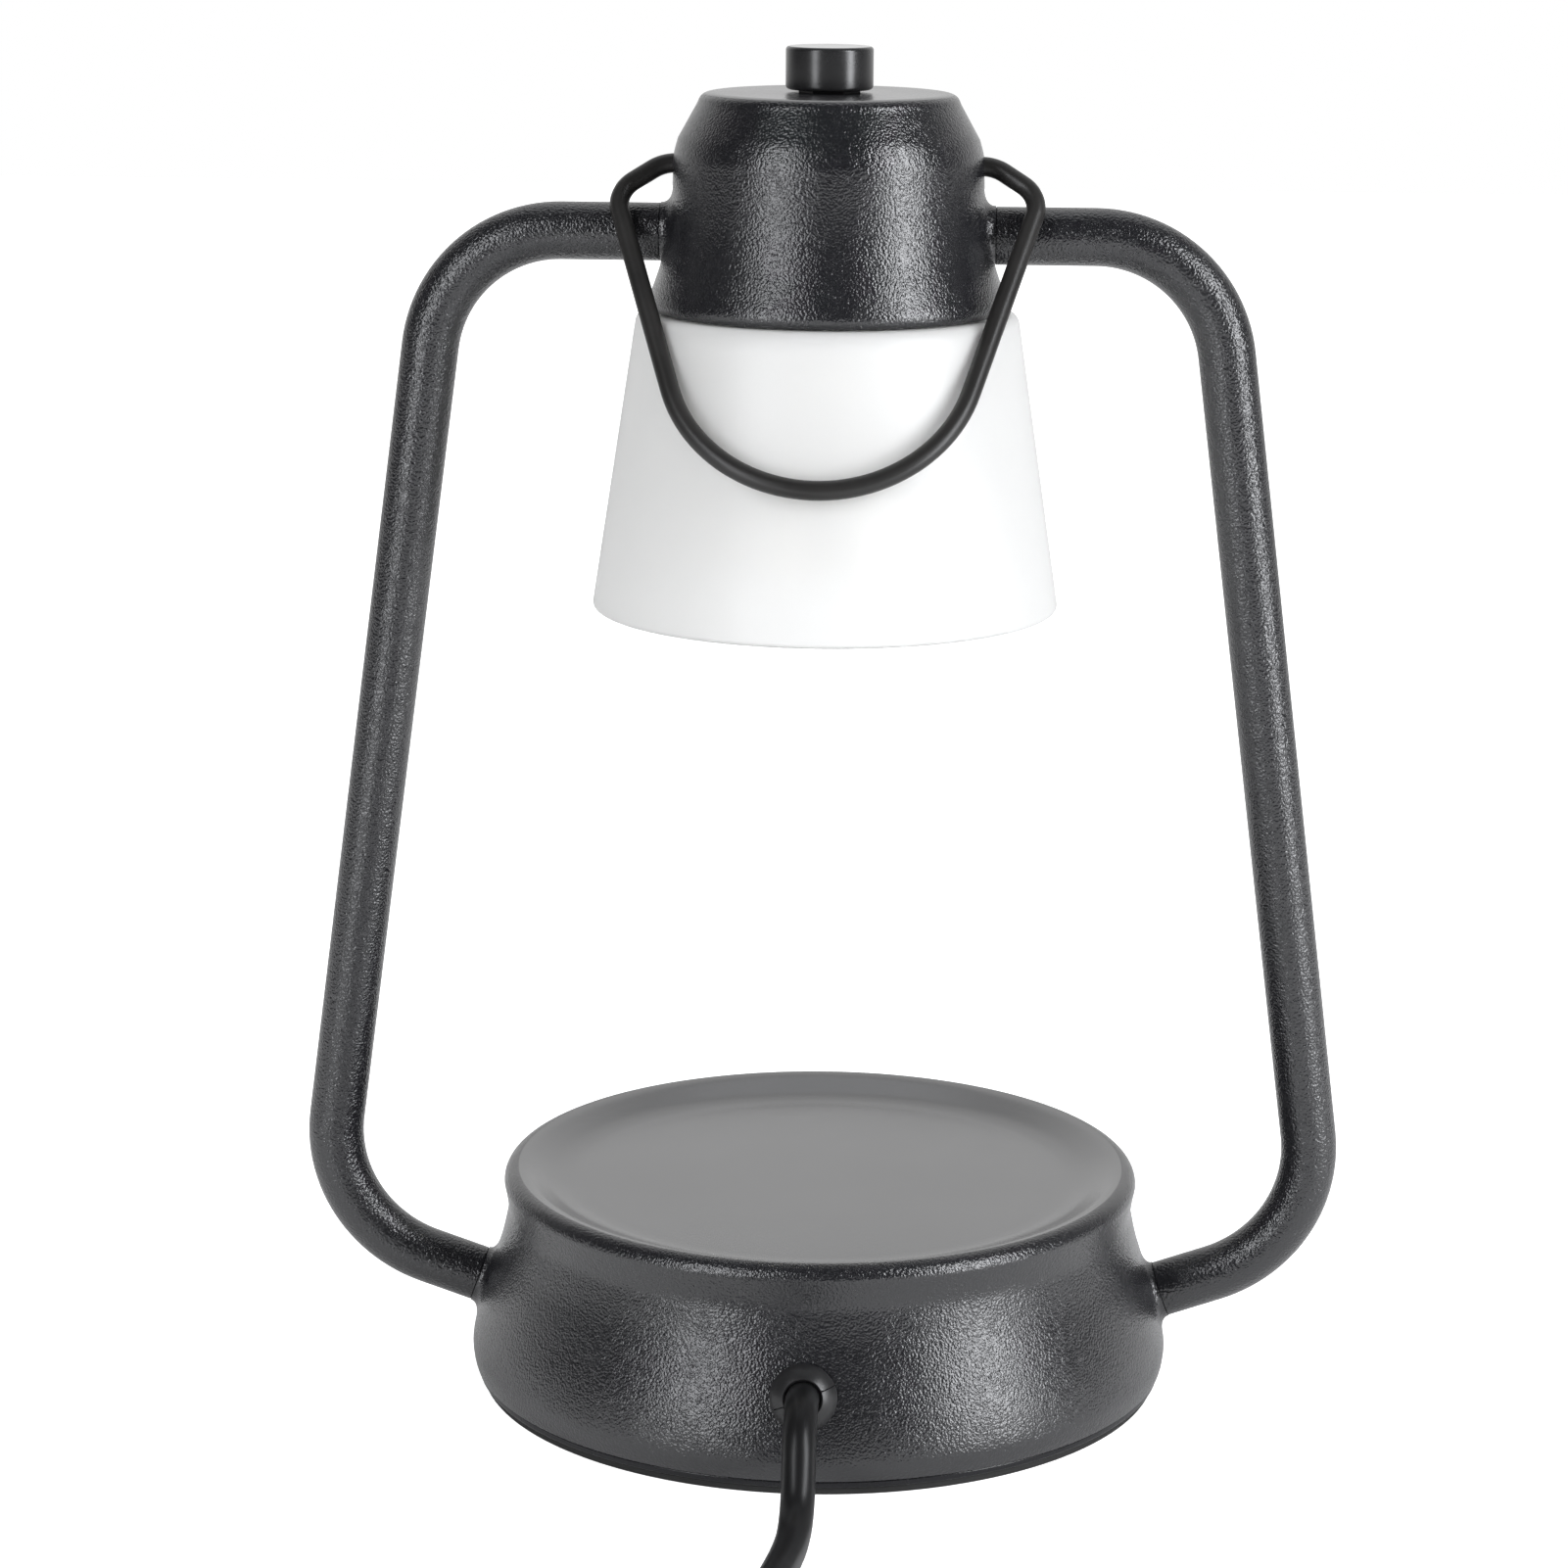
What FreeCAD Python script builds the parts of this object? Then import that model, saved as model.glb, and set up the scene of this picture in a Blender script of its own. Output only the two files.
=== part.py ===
import FreeCAD, Part
import math
import os

# Candle warmer lamp, in millimetres. The origin is at the middle of the underside of the base,
# +Z is up, the frame tubes stand at +X and -X, and the cord leaves the base towards -Y.

V = FreeCAD.Vector
X_AXIS = V(1, 0, 0)
seam_turn_deg = 45        # turned surfaces start and end here, away from the bosses
Y_AXIS = V(0, 1, 0)
Z_AXIS = V(0, 0, 1)

# Fits
turning_gap = 0.06        # radial, shaft in bush and wire in its hole
sliding_gap = 0.05        # radial, tube in boss, screw in hole, cord in gland
loose_gap = 0.3           # between pieces that nearly touch

# Base, from the table up
foot_pad_in = 0.9         # the pad lies this far inside the plate's edge
foot_pad_h = 1.8
plate_in = 0.5            # the plate lies this far inside the shell's lower edge
plate_h = 1.5
base_r = 76.0             # widest radius of the shell
base_edge_in = 0.6        # the shell's lower edge lies this far inside its widest radius
base_wide_h = 4.7         # height of the widest circle above the shell's lower edge
base_wall = 3.0
neck_in = 7.95            # the neck lies this far inside the widest circle
# Flank of the base: share of the height from widest circle to neck, and how far outside a
# straight line between the two, as a share of neck_in
flank_swell = [(0.13, 0.044), (0.3, 0.035), (0.6, -0.038), (0.75, -0.063), (0.9, -0.044)]
crest_in = 7.1            # so does the rounded rim's outside
base_h = 47.0
neck_drop = 9.0           # the neck lies this far under the rim's top
crest_round = 3.1
dish_depth = 3.8
dish_slope_w = 11.8       # from the rim's top to the flat part of the dish
ballast_in = 24.0
ballast_h = 5.0
base_posts = 3
base_post_in = 18.0
base_post_r = 4.0
screw_r = 1.5
screw_head_r = 2.9
screw_length = 12.0

# Frame tubes: lower arm, leaning side and upper arm, in the XZ plane
tube_r = 6.0
tube_bore_r = 4.0
spigot_r = 5.0
arm_z = 20.3              # height of the lower arm's axis just outside the base
arm_out = 2.0             # and how far outside the base's widest circle that is
arm_rise_deg = 19.3
side_foot_out = 37.5      # the side's axis would meet the table this far outside the base
side_lean_deg = 7.65
upper_arm_z = 249.0
lower_bend_r = 30.0
upper_bend_r = 28.0
nut_flats = 14.0
nut_h = 3.0
washer_r = 8.0
washer_h = 0.8
spigot_past_nut = 0.6

# Bosses that take the tubes
boss_lip = 0.35           # the boss is this much wider than the tube whose shoulder meets it
boss_fillet = 3.7
boss_inner_r = 8.6
base_boss_out = 1.9       # the boss stands this far out of the base wall
base_boss_in = 8.6
head_boss_out = 1.6
head_boss_in = 5.4

# Head
rim_under_arm = 15.6      # the head's lower rim lies this far under the upper arms' axis
rim_r = 37.2
head_h = 44.6
head_wall = 2.6
# Outline of the head: share of its height, and share of the rim's radius
head_flank = [(0.0, 0.984), (0.045, 1.0), (0.126, 0.968), (0.19, 0.942), (0.26, 0.915), (0.373, 0.887),
              (0.508, 0.871), (0.643, 0.866), (0.715, 0.862), (0.789, 0.839)]
head_top_edge = (0.946, 0.734)
head_top_round = 2.3
head_post_in = 13.0
head_post_r = 3.5
cover_in = 1.0            # between cover plate and the head's inner wall
cover_h = 1.6
cover_lift = 0.6          # the cover plate lies this far above the rim

# Dimmer
knob_r = 9.05
knob_h = 8.2
knob_gap = 1.2            # between knob and head
knob_round = 1.2
knob_hollow_r = 7.2
knob_hollow_h = 3.4
shaft_r = 3.0
bush_r = 4.4
bush_past_head = 3.0
dimmer_side = 18.0
dimmer_h = 8.0
shaft_in_dimmer = 5.0
knob_cap_t = 1.8
bush_nut_flats = 11.0
bush_nut_h = 2.2

# Lampholder, shade and bulb
holder_r = 14.0
holder_flange_r = 17.0
holder_flange_h = 3.0
holder_top_h = 18.0
holder_skirt_h = 8.6      # below the cover plate's upper face
pin_pitch = 10.0
pin_r = 2.4
pin_l = 7.0
gasket_r = 22.0
gasket_h = 1.0
shade_ring_r = 20.0
shade_ring_h = 2.8
shade_h = 62.3
shade_top_r = 40.1
shade_bottom_r = 49.1
shade_wall = 3.0
shade_corner = 2.5
bulb_base_r = 10.5
bulb_base_h = 12.0
bulb_h = 46.0
bulb_r = 25.0
bulb_rim_h = 3.0
bulb_glass = 1.2
bulb_lens_h = 2.0

# Bail
wire_r = 2.0
bail_over_arm = 14.2      # its pivots lie this far above the upper arms' axis
bail_end_in = 4.6         # the wire's ends lie this far inside the head's waist
bail_knee_in_out = 2.1    # first corner, this far outside the waist, where the wire turns down
bail_knee_past_rim = 6.8  # second corner, the widest point, this far outside the head's rim
bail_knee_drop = 7.4
bail_knee_in_r = 8.0
bail_knee_out_r = 7.0
bail_bow_r = 31.6         # radius of the round lower end
bail_drop = 76.8          # pivot to the lowest point of the wire's axis
bail_rest_gap = 0.35      # between the bail and the shade it leans on

# Gland, cord, coil and plug
cord_d = 6.9
cord_lift = 0.05          # between cord and table
gland_z = 20.6
gland_tilt_deg = 15.0
gland_flange_r = 7.0
gland_dome_h = 4.0
gland_gap = 0.2           # between the bush and the base wall, inside and outside
gland_neck_r = 5.6
gland_inner_h = 2.0
gland_split_deg = 23.0
cord_length = 1750.0      # from the gland to the plug's sleeve
# Route of the cord from the gland over the table to the coil: across, out from the base's
# widest circle, and up
cord_floor_z = cord_d / 2 + cord_lift
cord_route = [
    (0.0, 5.2, 22.89), (0.0, 10.2, 21.6), (0.0, 14.4, 18.4), (0.1, 17.6, 12.8),
    (0.1, 21.8, 7.2), (-0.2, 27.8, 4.2), (-1.0, 35.2, cord_floor_z),
    (-2.7, 45.5, cord_floor_z), (-5.4, 59.0, cord_floor_z), (-7.6, 77.0, cord_floor_z),
    (-9.2, 97.0, cord_floor_z), (-12.6, 117.0, cord_floor_z),
]
coil_start_place = (-17.6, 135.0, cord_floor_z)
coil_heading_deg = 15.5   # from -Y towards -X
coil_lead_in = 8.0
coil_gap = 0.55
coil_inward_halves = 5
coil_outward_halves = 6
coil_tail = 31.0
sleeve_l = 24.0
sleeve_thin_r = 4.3
sleeve_thick_r = 6.4
plug_l = 32.0
plug_w = 36.0
plug_neck_w = 24.0
plug_neck_h = 15.0
plug_pin_r = 2.4
plug_pin_l = 19.0
plug_pin_pitch = 19.0

# Wiring inside
flex_r = 2.25
block_w = 24.0
block_l = 17.0
block_h = 13.5
block_in = 16.0           # the block's middle lies this far inside the ballast's edge
flex_exit_h = 6.5         # where the inner lead leaves the block: above the ballast,
flex_exit_y = 4.0         # and behind the block's middle
block_screw_r = 1.6
lead_r = 1.0
lead_y = 5.0

# Heights and places that follow from the sizes above
plate_z = foot_pad_h
shell_z = plate_z + plate_h
base_wide_z = shell_z + base_wide_h
base_edge_r = base_r - base_edge_in
plate_r = base_edge_r - plate_in
foot_pad_r = plate_r - foot_pad_in
crest_z = base_h
neck_z = crest_z - neck_drop
neck_r = base_r - neck_in
crest_r = base_r - crest_in
crest_ring_r = crest_r - crest_round
dish_z = crest_z - dish_depth
dish_r = crest_ring_r - dish_slope_w
base_roof_z = dish_z - base_wall
ballast_r = base_r - ballast_in
ballast_top_z = shell_z + ballast_h
base_post_ring_r = base_r - base_post_in
arm_x = base_r + arm_out
block_y = ballast_in + block_in - base_r
side_foot_x = base_r + side_foot_out
boss_mouth_r = tube_r + boss_lip
rim_z = upper_arm_z - rim_under_arm
head_top_z = rim_z + head_h
head_post_y = rim_r - head_post_in
cover_r = rim_r - head_wall - cover_in
bail_knee_out_x = rim_r + bail_knee_past_rim
waist_r = rim_r * head_flank[-3][1]
bail_pivot_z = upper_arm_z + bail_over_arm
cover_z = rim_z + cover_lift
cover_top_z = cover_z + cover_h
holder_face_z = cover_top_z - holder_skirt_h
shade_top_z = cover_z - gasket_h
shade_bottom_z = shade_top_z - shade_h
shade_hole_r = holder_r + loose_gap
head_roof_z = head_top_z - head_wall
knob_z = head_top_z + knob_gap
knob_top_z = knob_z + knob_h
bulb_top_z = holder_face_z - loose_gap
bulb_bottom_z = bulb_top_z - bulb_h
arm_rise = math.radians(arm_rise_deg)
arm_dir = V(math.cos(arm_rise), 0, math.sin(arm_rise))
side_slope = math.tan(math.radians(side_lean_deg))


def lerp(a, b, share):
    return a + (b - a) * share


def cylinder(radius, height, base, axis=Z_AXIS):
    return Part.makeCylinder(radius, height, base, axis)


def disc(radius, z0, z1):
    return cylinder(radius, z1 - z0, V(0, 0, z0))


def ring(inner_r, outer_r, z0, z1):
    return disc(outer_r, z0, z1).cut(disc(inner_r, z0, z1))


def line(a, b):
    return Part.LineSegment(a, b).toShape()


def arc(a, mid, b):
    return Part.Arc(a, mid, b).toShape()


def curve(points):
    spline = Part.BSplineCurve()
    spline.interpolate(points)
    return spline.toShape()


def profile_point(radius, height):
    return V(radius, 0, height)


def revolved(edges):
    face = Part.Face(Part.Wire(edges))
    return face.revolve(V(0, 0, 0), Z_AXIS, 360)


def revolved_outline(points):
    corners = [profile_point(r, z) for r, z in points]
    edges = [line(a, b) for a, b in zip(corners, corners[1:] + corners[:1])]
    return revolved(edges)


def mirrored(shape):
    return shape.mirror(V(0, 0, 0), X_AXIS)


def hex_nut(flats, height, hole_r, base, axis):
    corner_r = flats / math.sqrt(3)
    corners = []
    for k in range(7):
        angle = math.radians(60 * k)
        corners.append(V(corner_r * math.cos(angle), corner_r * math.sin(angle), 0))
    nut = Part.Face(Part.makePolygon(corners)).extrude(V(0, 0, height))
    nut = nut.cut(cylinder(hole_r, height, V(0, 0, 0)))
    nut.Placement = FreeCAD.Placement(base, FreeCAD.Rotation(Z_AXIS, axis))
    return nut


def bent_edges(points, radii):
    """Straight runs through the points, joined by tangent arcs of the given radii."""
    edges = []
    start = points[0]
    for k, radius in enumerate(radii, start=1):
        before = (points[k] - points[k - 1]).normalize()
        after = (points[k + 1] - points[k]).normalize()
        turn = before.getAngle(after)
        reach = radius * math.tan(turn / 2)
        a = points[k] - before * reach
        b = points[k] + after * reach
        inward = (after - before).normalize()
        centre = points[k] + inward * (radius / math.cos(turn / 2))
        mid = centre - inward * radius
        edges.append(line(start, a))
        edges.append(arc(a, mid, b))
        start = b
    edges.append(line(start, points[-1]))
    return edges


def pipe(edges, radius):
    path = Part.Wire(edges)
    first = edges[0]
    at = first.valueAt(first.FirstParameter)
    along = first.tangentAt(first.FirstParameter)
    section = Part.Wire([Part.Circle(at, along, radius).toShape()])
    return path.makePipeShell([section], True, False)


def route_radii(points):
    """The largest arcs that the runs of a loose route allow."""
    radii = []
    for a, b, c in zip(points, points[1:], points[2:]):
        turn = (b - a).getAngle(c - b)
        radii.append(0.45 * min(b.distanceToPoint(a), c.distanceToPoint(b)) / math.tan(turn / 2))
    return radii


def length_of(edges):
    return sum(edge.Length for edge in edges)


# Places on the frame tubes


def arm_point(x):
    return V(x, 0, arm_z + (x - arm_x) * math.tan(arm_rise))


def lower_corner():
    # The lower arm's axis meets the side's axis.
    rise = math.tan(arm_rise)
    x = (side_foot_x - side_slope * (arm_z - rise * arm_x)) / (1 + side_slope * rise)
    return arm_point(x)


def upper_corner():
    return V(side_foot_x - side_slope * upper_arm_z, 0, upper_arm_z)


def base_wall_r(z):
    # The flank of the base runs nearly straight from its widest circle to the neck.
    return lerp(base_r, neck_r, (z - base_wide_z) / (neck_z - base_wide_z))


def base_boss_foot():
    """Where the lower arm's axis leaves the base wall."""
    drop = (base_r - neck_r) / (neck_z - base_wide_z)
    rise = math.tan(arm_rise)
    x = (base_r + drop * (base_wide_z - arm_z + rise * arm_x)) / (1 + drop * rise)
    return arm_point(x)


def head_point(height_share, radius_share):
    return profile_point(rim_r * radius_share, rim_z + head_h * height_share)


def head_wall_r():
    """Radius of the head at the height of the upper arms."""
    outline = [head_point(*pair) for pair in head_flank]
    for low, high in zip(outline, outline[1:]):
        if low.z <= upper_arm_z <= high.z:
            return lerp(low.x, high.x, (upper_arm_z - low.z) / (high.z - low.z))
    return waist_r


def head_boss_foot():
    return V(head_wall_r(), 0, upper_arm_z)


def seat_point(foot, out, outward):
    """Where the tube's shoulder meets the boss, seen from where its axis leaves the wall."""
    return foot + outward * out


def boss(foot, outward, out, inside):
    """A cast boss round a tube: a fillet outside the wall and a plain sleeve inside it."""
    root = out - boss_fillet
    root_r = boss_mouth_r + boss_fillet
    mid = boss_fillet * math.sqrt(0.5)
    shape = revolved([
        line(profile_point(0, root), profile_point(root_r, root)),
        arc(profile_point(root_r, root), profile_point(root_r - mid, out - mid),
            profile_point(boss_mouth_r, out)),
        line(profile_point(boss_mouth_r, out), profile_point(0, out)),
        line(profile_point(0, out), profile_point(0, root)),
    ])
    shape = shape.fuse(cylinder(boss_inner_r, inside + root, V(0, 0, -inside)))
    shape.Placement = FreeCAD.Placement(foot, FreeCAD.Rotation(Z_AXIS, outward))
    return shape


def boss_hollow(foot, outward, out, inside):
    start = foot - outward * inside * 1.5
    return cylinder(spigot_r + sliding_gap, inside * 1.5 + out + boss_fillet, start, outward)


def lock_washer(foot, outward, inside):
    washer = cylinder(washer_r, washer_h, foot - outward * (inside + washer_h), outward)
    return washer.cut(cylinder(spigot_r + sliding_gap, washer_h, foot - outward * (inside + washer_h),
                               outward))


def lock_nut(foot, outward, inside):
    return hex_nut(nut_flats, nut_h, spigot_r + sliding_gap,
                   foot - outward * (inside + washer_h + nut_h), outward)


def spigot_end(foot, outward, inside):
    return foot - outward * (inside + washer_h + nut_h + spigot_past_nut)


# Base


def make_base_shell():
    swell = []
    for share, extra in flank_swell:
        z = lerp(base_wide_z, neck_z, share)
        swell.append(profile_point(base_wall_r(z) + extra * neck_in, z))
    flank = curve([profile_point(base_edge_r, shell_z), profile_point(base_r, base_wide_z)] + swell
                  + [profile_point(neck_r, neck_z), profile_point(crest_r, crest_z - crest_round)])
    rounded = crest_round * math.sqrt(0.5)
    rim_outer = arc(profile_point(crest_r, crest_z - crest_round),
                    profile_point(crest_ring_r + rounded, crest_z - crest_round + rounded),
                    profile_point(crest_ring_r, crest_z))
    dish_side = curve([
        profile_point(crest_ring_r, crest_z),
        profile_point(lerp(crest_ring_r, dish_r, 0.25), crest_z - dish_depth * 0.24),
        profile_point(lerp(crest_ring_r, dish_r, 0.6), crest_z - dish_depth * 0.76),
        profile_point(dish_r, dish_z),
    ])
    outside = revolved([
        line(profile_point(0, shell_z), profile_point(base_edge_r, shell_z)),
        flank,
        rim_outer,
        dish_side,
        line(profile_point(dish_r, dish_z), profile_point(0, dish_z)),
        line(profile_point(0, dish_z), profile_point(0, shell_z)),
    ])
    inside = revolved_outline([
        (0, shell_z),
        (base_edge_r - base_wall, shell_z),
        (base_r - base_wall, base_wide_z),
        (neck_r - base_wall, base_roof_z - base_wall),
        (neck_r - base_wall * 2, base_roof_z),
        (0, base_roof_z),
    ])
    shell = outside.cut(inside)
    shell.rotate(V(0, 0, 0), Z_AXIS, seam_turn_deg)
    for foot, outward in base_boss_places():
        shell = shell.fuse(boss(foot, outward, base_boss_out, base_boss_in))
    for foot, outward in base_boss_places():
        shell = shell.cut(boss_hollow(foot, outward, base_boss_out, base_boss_in))
    for at in base_post_places():
        shell = shell.fuse(cylinder(base_post_r, base_roof_z - shell_z, at))
        shell = shell.cut(cylinder(screw_r + sliding_gap, screw_length, at))
    return shell.cut(gland_hole())


def base_boss_places():
    foot = base_boss_foot()
    return [(foot, arm_dir), (V(-foot.x, 0, foot.z), V(-arm_dir.x, 0, arm_dir.z))]


def head_boss_places():
    foot = head_boss_foot()
    return [(foot, X_AXIS), (V(-foot.x, 0, foot.z), -X_AXIS)]


def base_post_places():
    places = []
    for k in range(base_posts):
        angle = math.radians(90 + 360 * k / base_posts)
        places.append(V(base_post_ring_r * math.cos(angle), base_post_ring_r * math.sin(angle), shell_z))
    return places


def countersunk_screw(at, head_h, length):
    """A screw whose head fills its countersink; at is the top of the head."""
    head = Part.makeCone(screw_head_r, screw_r, head_h, at - Z_AXIS * head_h)
    return head.fuse(cylinder(screw_r, length, at))


def countersink(at, head_h):
    hole = Part.makeCone(screw_head_r + sliding_gap, screw_r + sliding_gap, head_h, at - Z_AXIS * head_h)
    return hole


def make_bottom_plate():
    plate = disc(plate_r, plate_z, shell_z)
    for at in base_post_places():
        plate = plate.cut(countersink(at, plate_h))
    return plate


def make_plate_screws():
    screws = [countersunk_screw(at, plate_h, screw_length - 1) for at in base_post_places()]
    return Part.makeCompound(screws)


def make_foot_pad():
    return disc(foot_pad_r, 0, foot_pad_h)


def make_ballast():
    return disc(ballast_r, shell_z, ballast_top_z)


# Frame tubes


def tube_path(inner_ends):
    base_foot, head_foot = base_boss_foot(), head_boss_foot()
    if inner_ends:
        first = spigot_end(base_foot, arm_dir, base_boss_in)
        last = spigot_end(head_foot, X_AXIS, head_boss_in)
    else:
        first = seat_point(base_foot, base_boss_out, arm_dir)
        last = seat_point(head_foot, head_boss_out, X_AXIS)
    return [first, lower_corner(), upper_corner(), last]


def make_frame_tube():
    bends = [lower_bend_r, upper_bend_r]
    outer = pipe(bent_edges(tube_path(False), bends), tube_r)
    spigots = pipe(bent_edges(tube_path(True), bends), spigot_r)
    bore = pipe(bent_edges(tube_path(True), bends), tube_bore_r)
    return outer.fuse(spigots).cut(bore).removeSplitter()


def make_lock_washers(places, inside):
    return Part.makeCompound([lock_washer(foot, outward, inside) for foot, outward in places])


def make_lock_nuts(places, inside):
    return Part.makeCompound([lock_nut(foot, outward, inside) for foot, outward in places])


# Head


def make_head_shell():
    outline = [head_point(*pair) for pair in head_flank]
    edge = head_point(*head_top_edge)
    slope = (edge - outline[-1]).normalize()
    corner = V(edge.x + slope.x * (head_top_z - edge.z) / slope.z, 0, head_top_z)
    round_end = V(corner.x - head_top_round, 0, head_top_z)
    bulge = (corner - (edge + round_end) * 0.5) * 0.45
    outside = revolved([
        line(profile_point(0, rim_z), outline[0]),
        curve(outline),
        line(outline[-1], edge),
        arc(edge, (edge + round_end) * 0.5 + bulge, round_end),
        line(round_end, profile_point(0, head_top_z)),
        line(profile_point(0, head_top_z), profile_point(0, rim_z)),
    ])
    wall_points = [(p.x - head_wall, p.z) for p in outline if p.z > cover_top_z + head_wall]
    inside = revolved_outline(
        [(0, rim_z), (rim_r - head_wall, rim_z), (rim_r - head_wall, cover_top_z)]
        + wall_points
        + [(edge.x - head_wall, head_roof_z - head_wall), (edge.x - head_wall * 2, head_roof_z),
           (0, head_roof_z)])
    shell = outside.cut(inside)
    shell.rotate(V(0, 0, 0), Z_AXIS, seam_turn_deg)
    for foot, outward in head_boss_places():
        shell = shell.fuse(boss(foot, outward, head_boss_out, head_boss_in))
    for foot, outward in head_boss_places():
        shell = shell.cut(boss_hollow(foot, outward, head_boss_out, head_boss_in))
    for at in head_post_places():
        shell = shell.fuse(cylinder(head_post_r, head_roof_z - cover_top_z, at))
        shell = shell.cut(cylinder(screw_r + sliding_gap, screw_length, at))
    shell = shell.cut(disc(bush_r + sliding_gap, head_roof_z, head_top_z))
    pivot = V(-rim_r * 2, 0, bail_pivot_z)
    return shell.cut(cylinder(wire_r + turning_gap, rim_r * 4, pivot, X_AXIS))


def head_post_places():
    return [V(0, side * head_post_y, cover_top_z) for side in (1, -1)]


def make_head_cover():
    cover = ring(holder_r + sliding_gap, cover_r, cover_z, cover_top_z)
    for at in head_post_places():
        cover = cover.cut(countersink(at, cover_h))
    return cover


def make_cover_screws():
    screws = [countersunk_screw(at, cover_h, screw_length - 1) for at in head_post_places()]
    return Part.makeCompound(screws)


# Dimmer


def make_dimmer():
    half = dimmer_side / 2
    body = Part.makeBox(dimmer_side, dimmer_side, dimmer_h, V(-half, -half, head_roof_z - dimmer_h))
    bush = disc(bush_r, head_roof_z, head_top_z + bush_past_head)
    well = disc(shaft_r + turning_gap, head_roof_z - shaft_in_dimmer - loose_gap,
                head_top_z + bush_past_head)
    return body.fuse(bush).cut(well)


def make_dimmer_nut():
    return hex_nut(bush_nut_flats, bush_nut_h, bush_r + sliding_gap, V(0, 0, head_top_z), Z_AXIS)


def make_dimmer_shaft():
    return disc(shaft_r, head_roof_z - shaft_in_dimmer, knob_top_z - knob_cap_t)


def make_knob():
    knob = disc(knob_r, knob_z, knob_top_z)
    outer_edges = [edge for edge in knob.Edges if edge.Closed]
    knob = knob.makeFillet(knob_round, outer_edges)
    knob = knob.cut(disc(knob_hollow_r, knob_z, knob_z + knob_hollow_h))
    return knob.cut(disc(shaft_r, knob_z, knob_top_z - knob_cap_t))


# Lampholder, shade and bulb


def pin_holes(radius, depth, z0):
    holes = [cylinder(radius, depth, V(side * pin_pitch / 2, 0, z0)) for side in (1, -1)]
    return Part.makeCompound(holes)


def make_lampholder():
    body = disc(holder_r, holder_face_z, cover_top_z + holder_top_h)
    body = body.fuse(disc(holder_flange_r, cover_top_z, cover_top_z + holder_flange_h))
    return body.cut(pin_holes(pin_r + loose_gap, pin_l + loose_gap, holder_face_z))


def make_shade_gasket():
    return ring(holder_r + sliding_gap, gasket_r, shade_top_z, cover_z)


def make_shade_ring():
    top = shade_top_z - shade_wall
    return ring(holder_r + sliding_gap, shade_ring_r, top - shade_ring_h, top)


def make_shade():
    drop = shade_h - shade_corner
    slope = (shade_bottom_r - shade_top_r) / drop
    corner_z = shade_top_z - shade_corner
    corner_mid = shade_corner * (1 - math.sqrt(0.5))
    outside = revolved([
        line(profile_point(0, shade_bottom_z), profile_point(shade_bottom_r, shade_bottom_z)),
        line(profile_point(shade_bottom_r, shade_bottom_z), profile_point(shade_top_r, corner_z)),
        arc(profile_point(shade_top_r, corner_z),
            profile_point(shade_top_r - corner_mid, shade_top_z - corner_mid),
            profile_point(shade_top_r - shade_corner, shade_top_z)),
        line(profile_point(shade_top_r - shade_corner, shade_top_z), profile_point(0, shade_top_z)),
        line(profile_point(0, shade_top_z), profile_point(0, shade_bottom_z)),
    ])
    ceiling = shade_top_z - shade_wall
    inside = revolved_outline([
        (0, shade_bottom_z),
        (shade_bottom_r - shade_wall, shade_bottom_z),
        (shade_top_r - shade_wall + slope * (corner_z - ceiling + 1), ceiling - 1),
        (shade_top_r - shade_wall - 1, ceiling),
        (0, ceiling),
    ])
    return outside.cut(inside).cut(disc(shade_hole_r, ceiling, shade_top_z))


def bulb_outline(inset):
    """The reflector's curve from its neck down to its rim, drawn in by the inset."""
    neck_z_ = bulb_top_z - bulb_base_h
    rim_top_z = bulb_bottom_z + bulb_rim_h
    return curve([
        profile_point(bulb_base_r - inset, neck_z_),
        profile_point(lerp(bulb_base_r, bulb_r, 0.55) - inset, lerp(neck_z_, rim_top_z, 0.38)),
        profile_point(lerp(bulb_base_r, bulb_r, 0.86) - inset, lerp(neck_z_, rim_top_z, 0.72)),
        profile_point(bulb_r - inset, rim_top_z),
    ])


def make_bulb_body():
    neck_z_ = bulb_top_z - bulb_base_h
    rim_top_z = bulb_bottom_z + bulb_rim_h
    outside = revolved([
        line(profile_point(0, bulb_top_z), profile_point(bulb_base_r, bulb_top_z)),
        line(profile_point(bulb_base_r, bulb_top_z), profile_point(bulb_base_r, neck_z_)),
        bulb_outline(0),
        line(profile_point(bulb_r, rim_top_z), profile_point(bulb_r, bulb_bottom_z)),
        line(profile_point(bulb_r, bulb_bottom_z), profile_point(0, bulb_bottom_z)),
        line(profile_point(0, bulb_bottom_z), profile_point(0, bulb_top_z)),
    ])
    inside = revolved([
        line(profile_point(0, neck_z_), profile_point(bulb_base_r - bulb_glass, neck_z_)),
        bulb_outline(bulb_glass),
        line(profile_point(bulb_r - bulb_glass, rim_top_z),
             profile_point(bulb_r - bulb_glass, bulb_bottom_z)),
        line(profile_point(bulb_r - bulb_glass, bulb_bottom_z), profile_point(0, bulb_bottom_z)),
        line(profile_point(0, bulb_bottom_z), profile_point(0, neck_z_)),
    ])
    return outside.cut(inside)


def make_bulb_lens():
    return disc(bulb_r - bulb_glass - sliding_gap, bulb_bottom_z, bulb_bottom_z + bulb_lens_h)


def make_bulb_pins():
    pins = [cylinder(pin_r, pin_l + loose_gap, V(side * pin_pitch / 2, 0, bulb_top_z)) for side in (1, -1)]
    return Part.makeCompound(pins)


# Bail


def shade_r_at(z):
    share = (shade_top_z - shade_corner - z) / (shade_h - shade_corner)
    return lerp(shade_top_r, shade_bottom_r, share)


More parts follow.
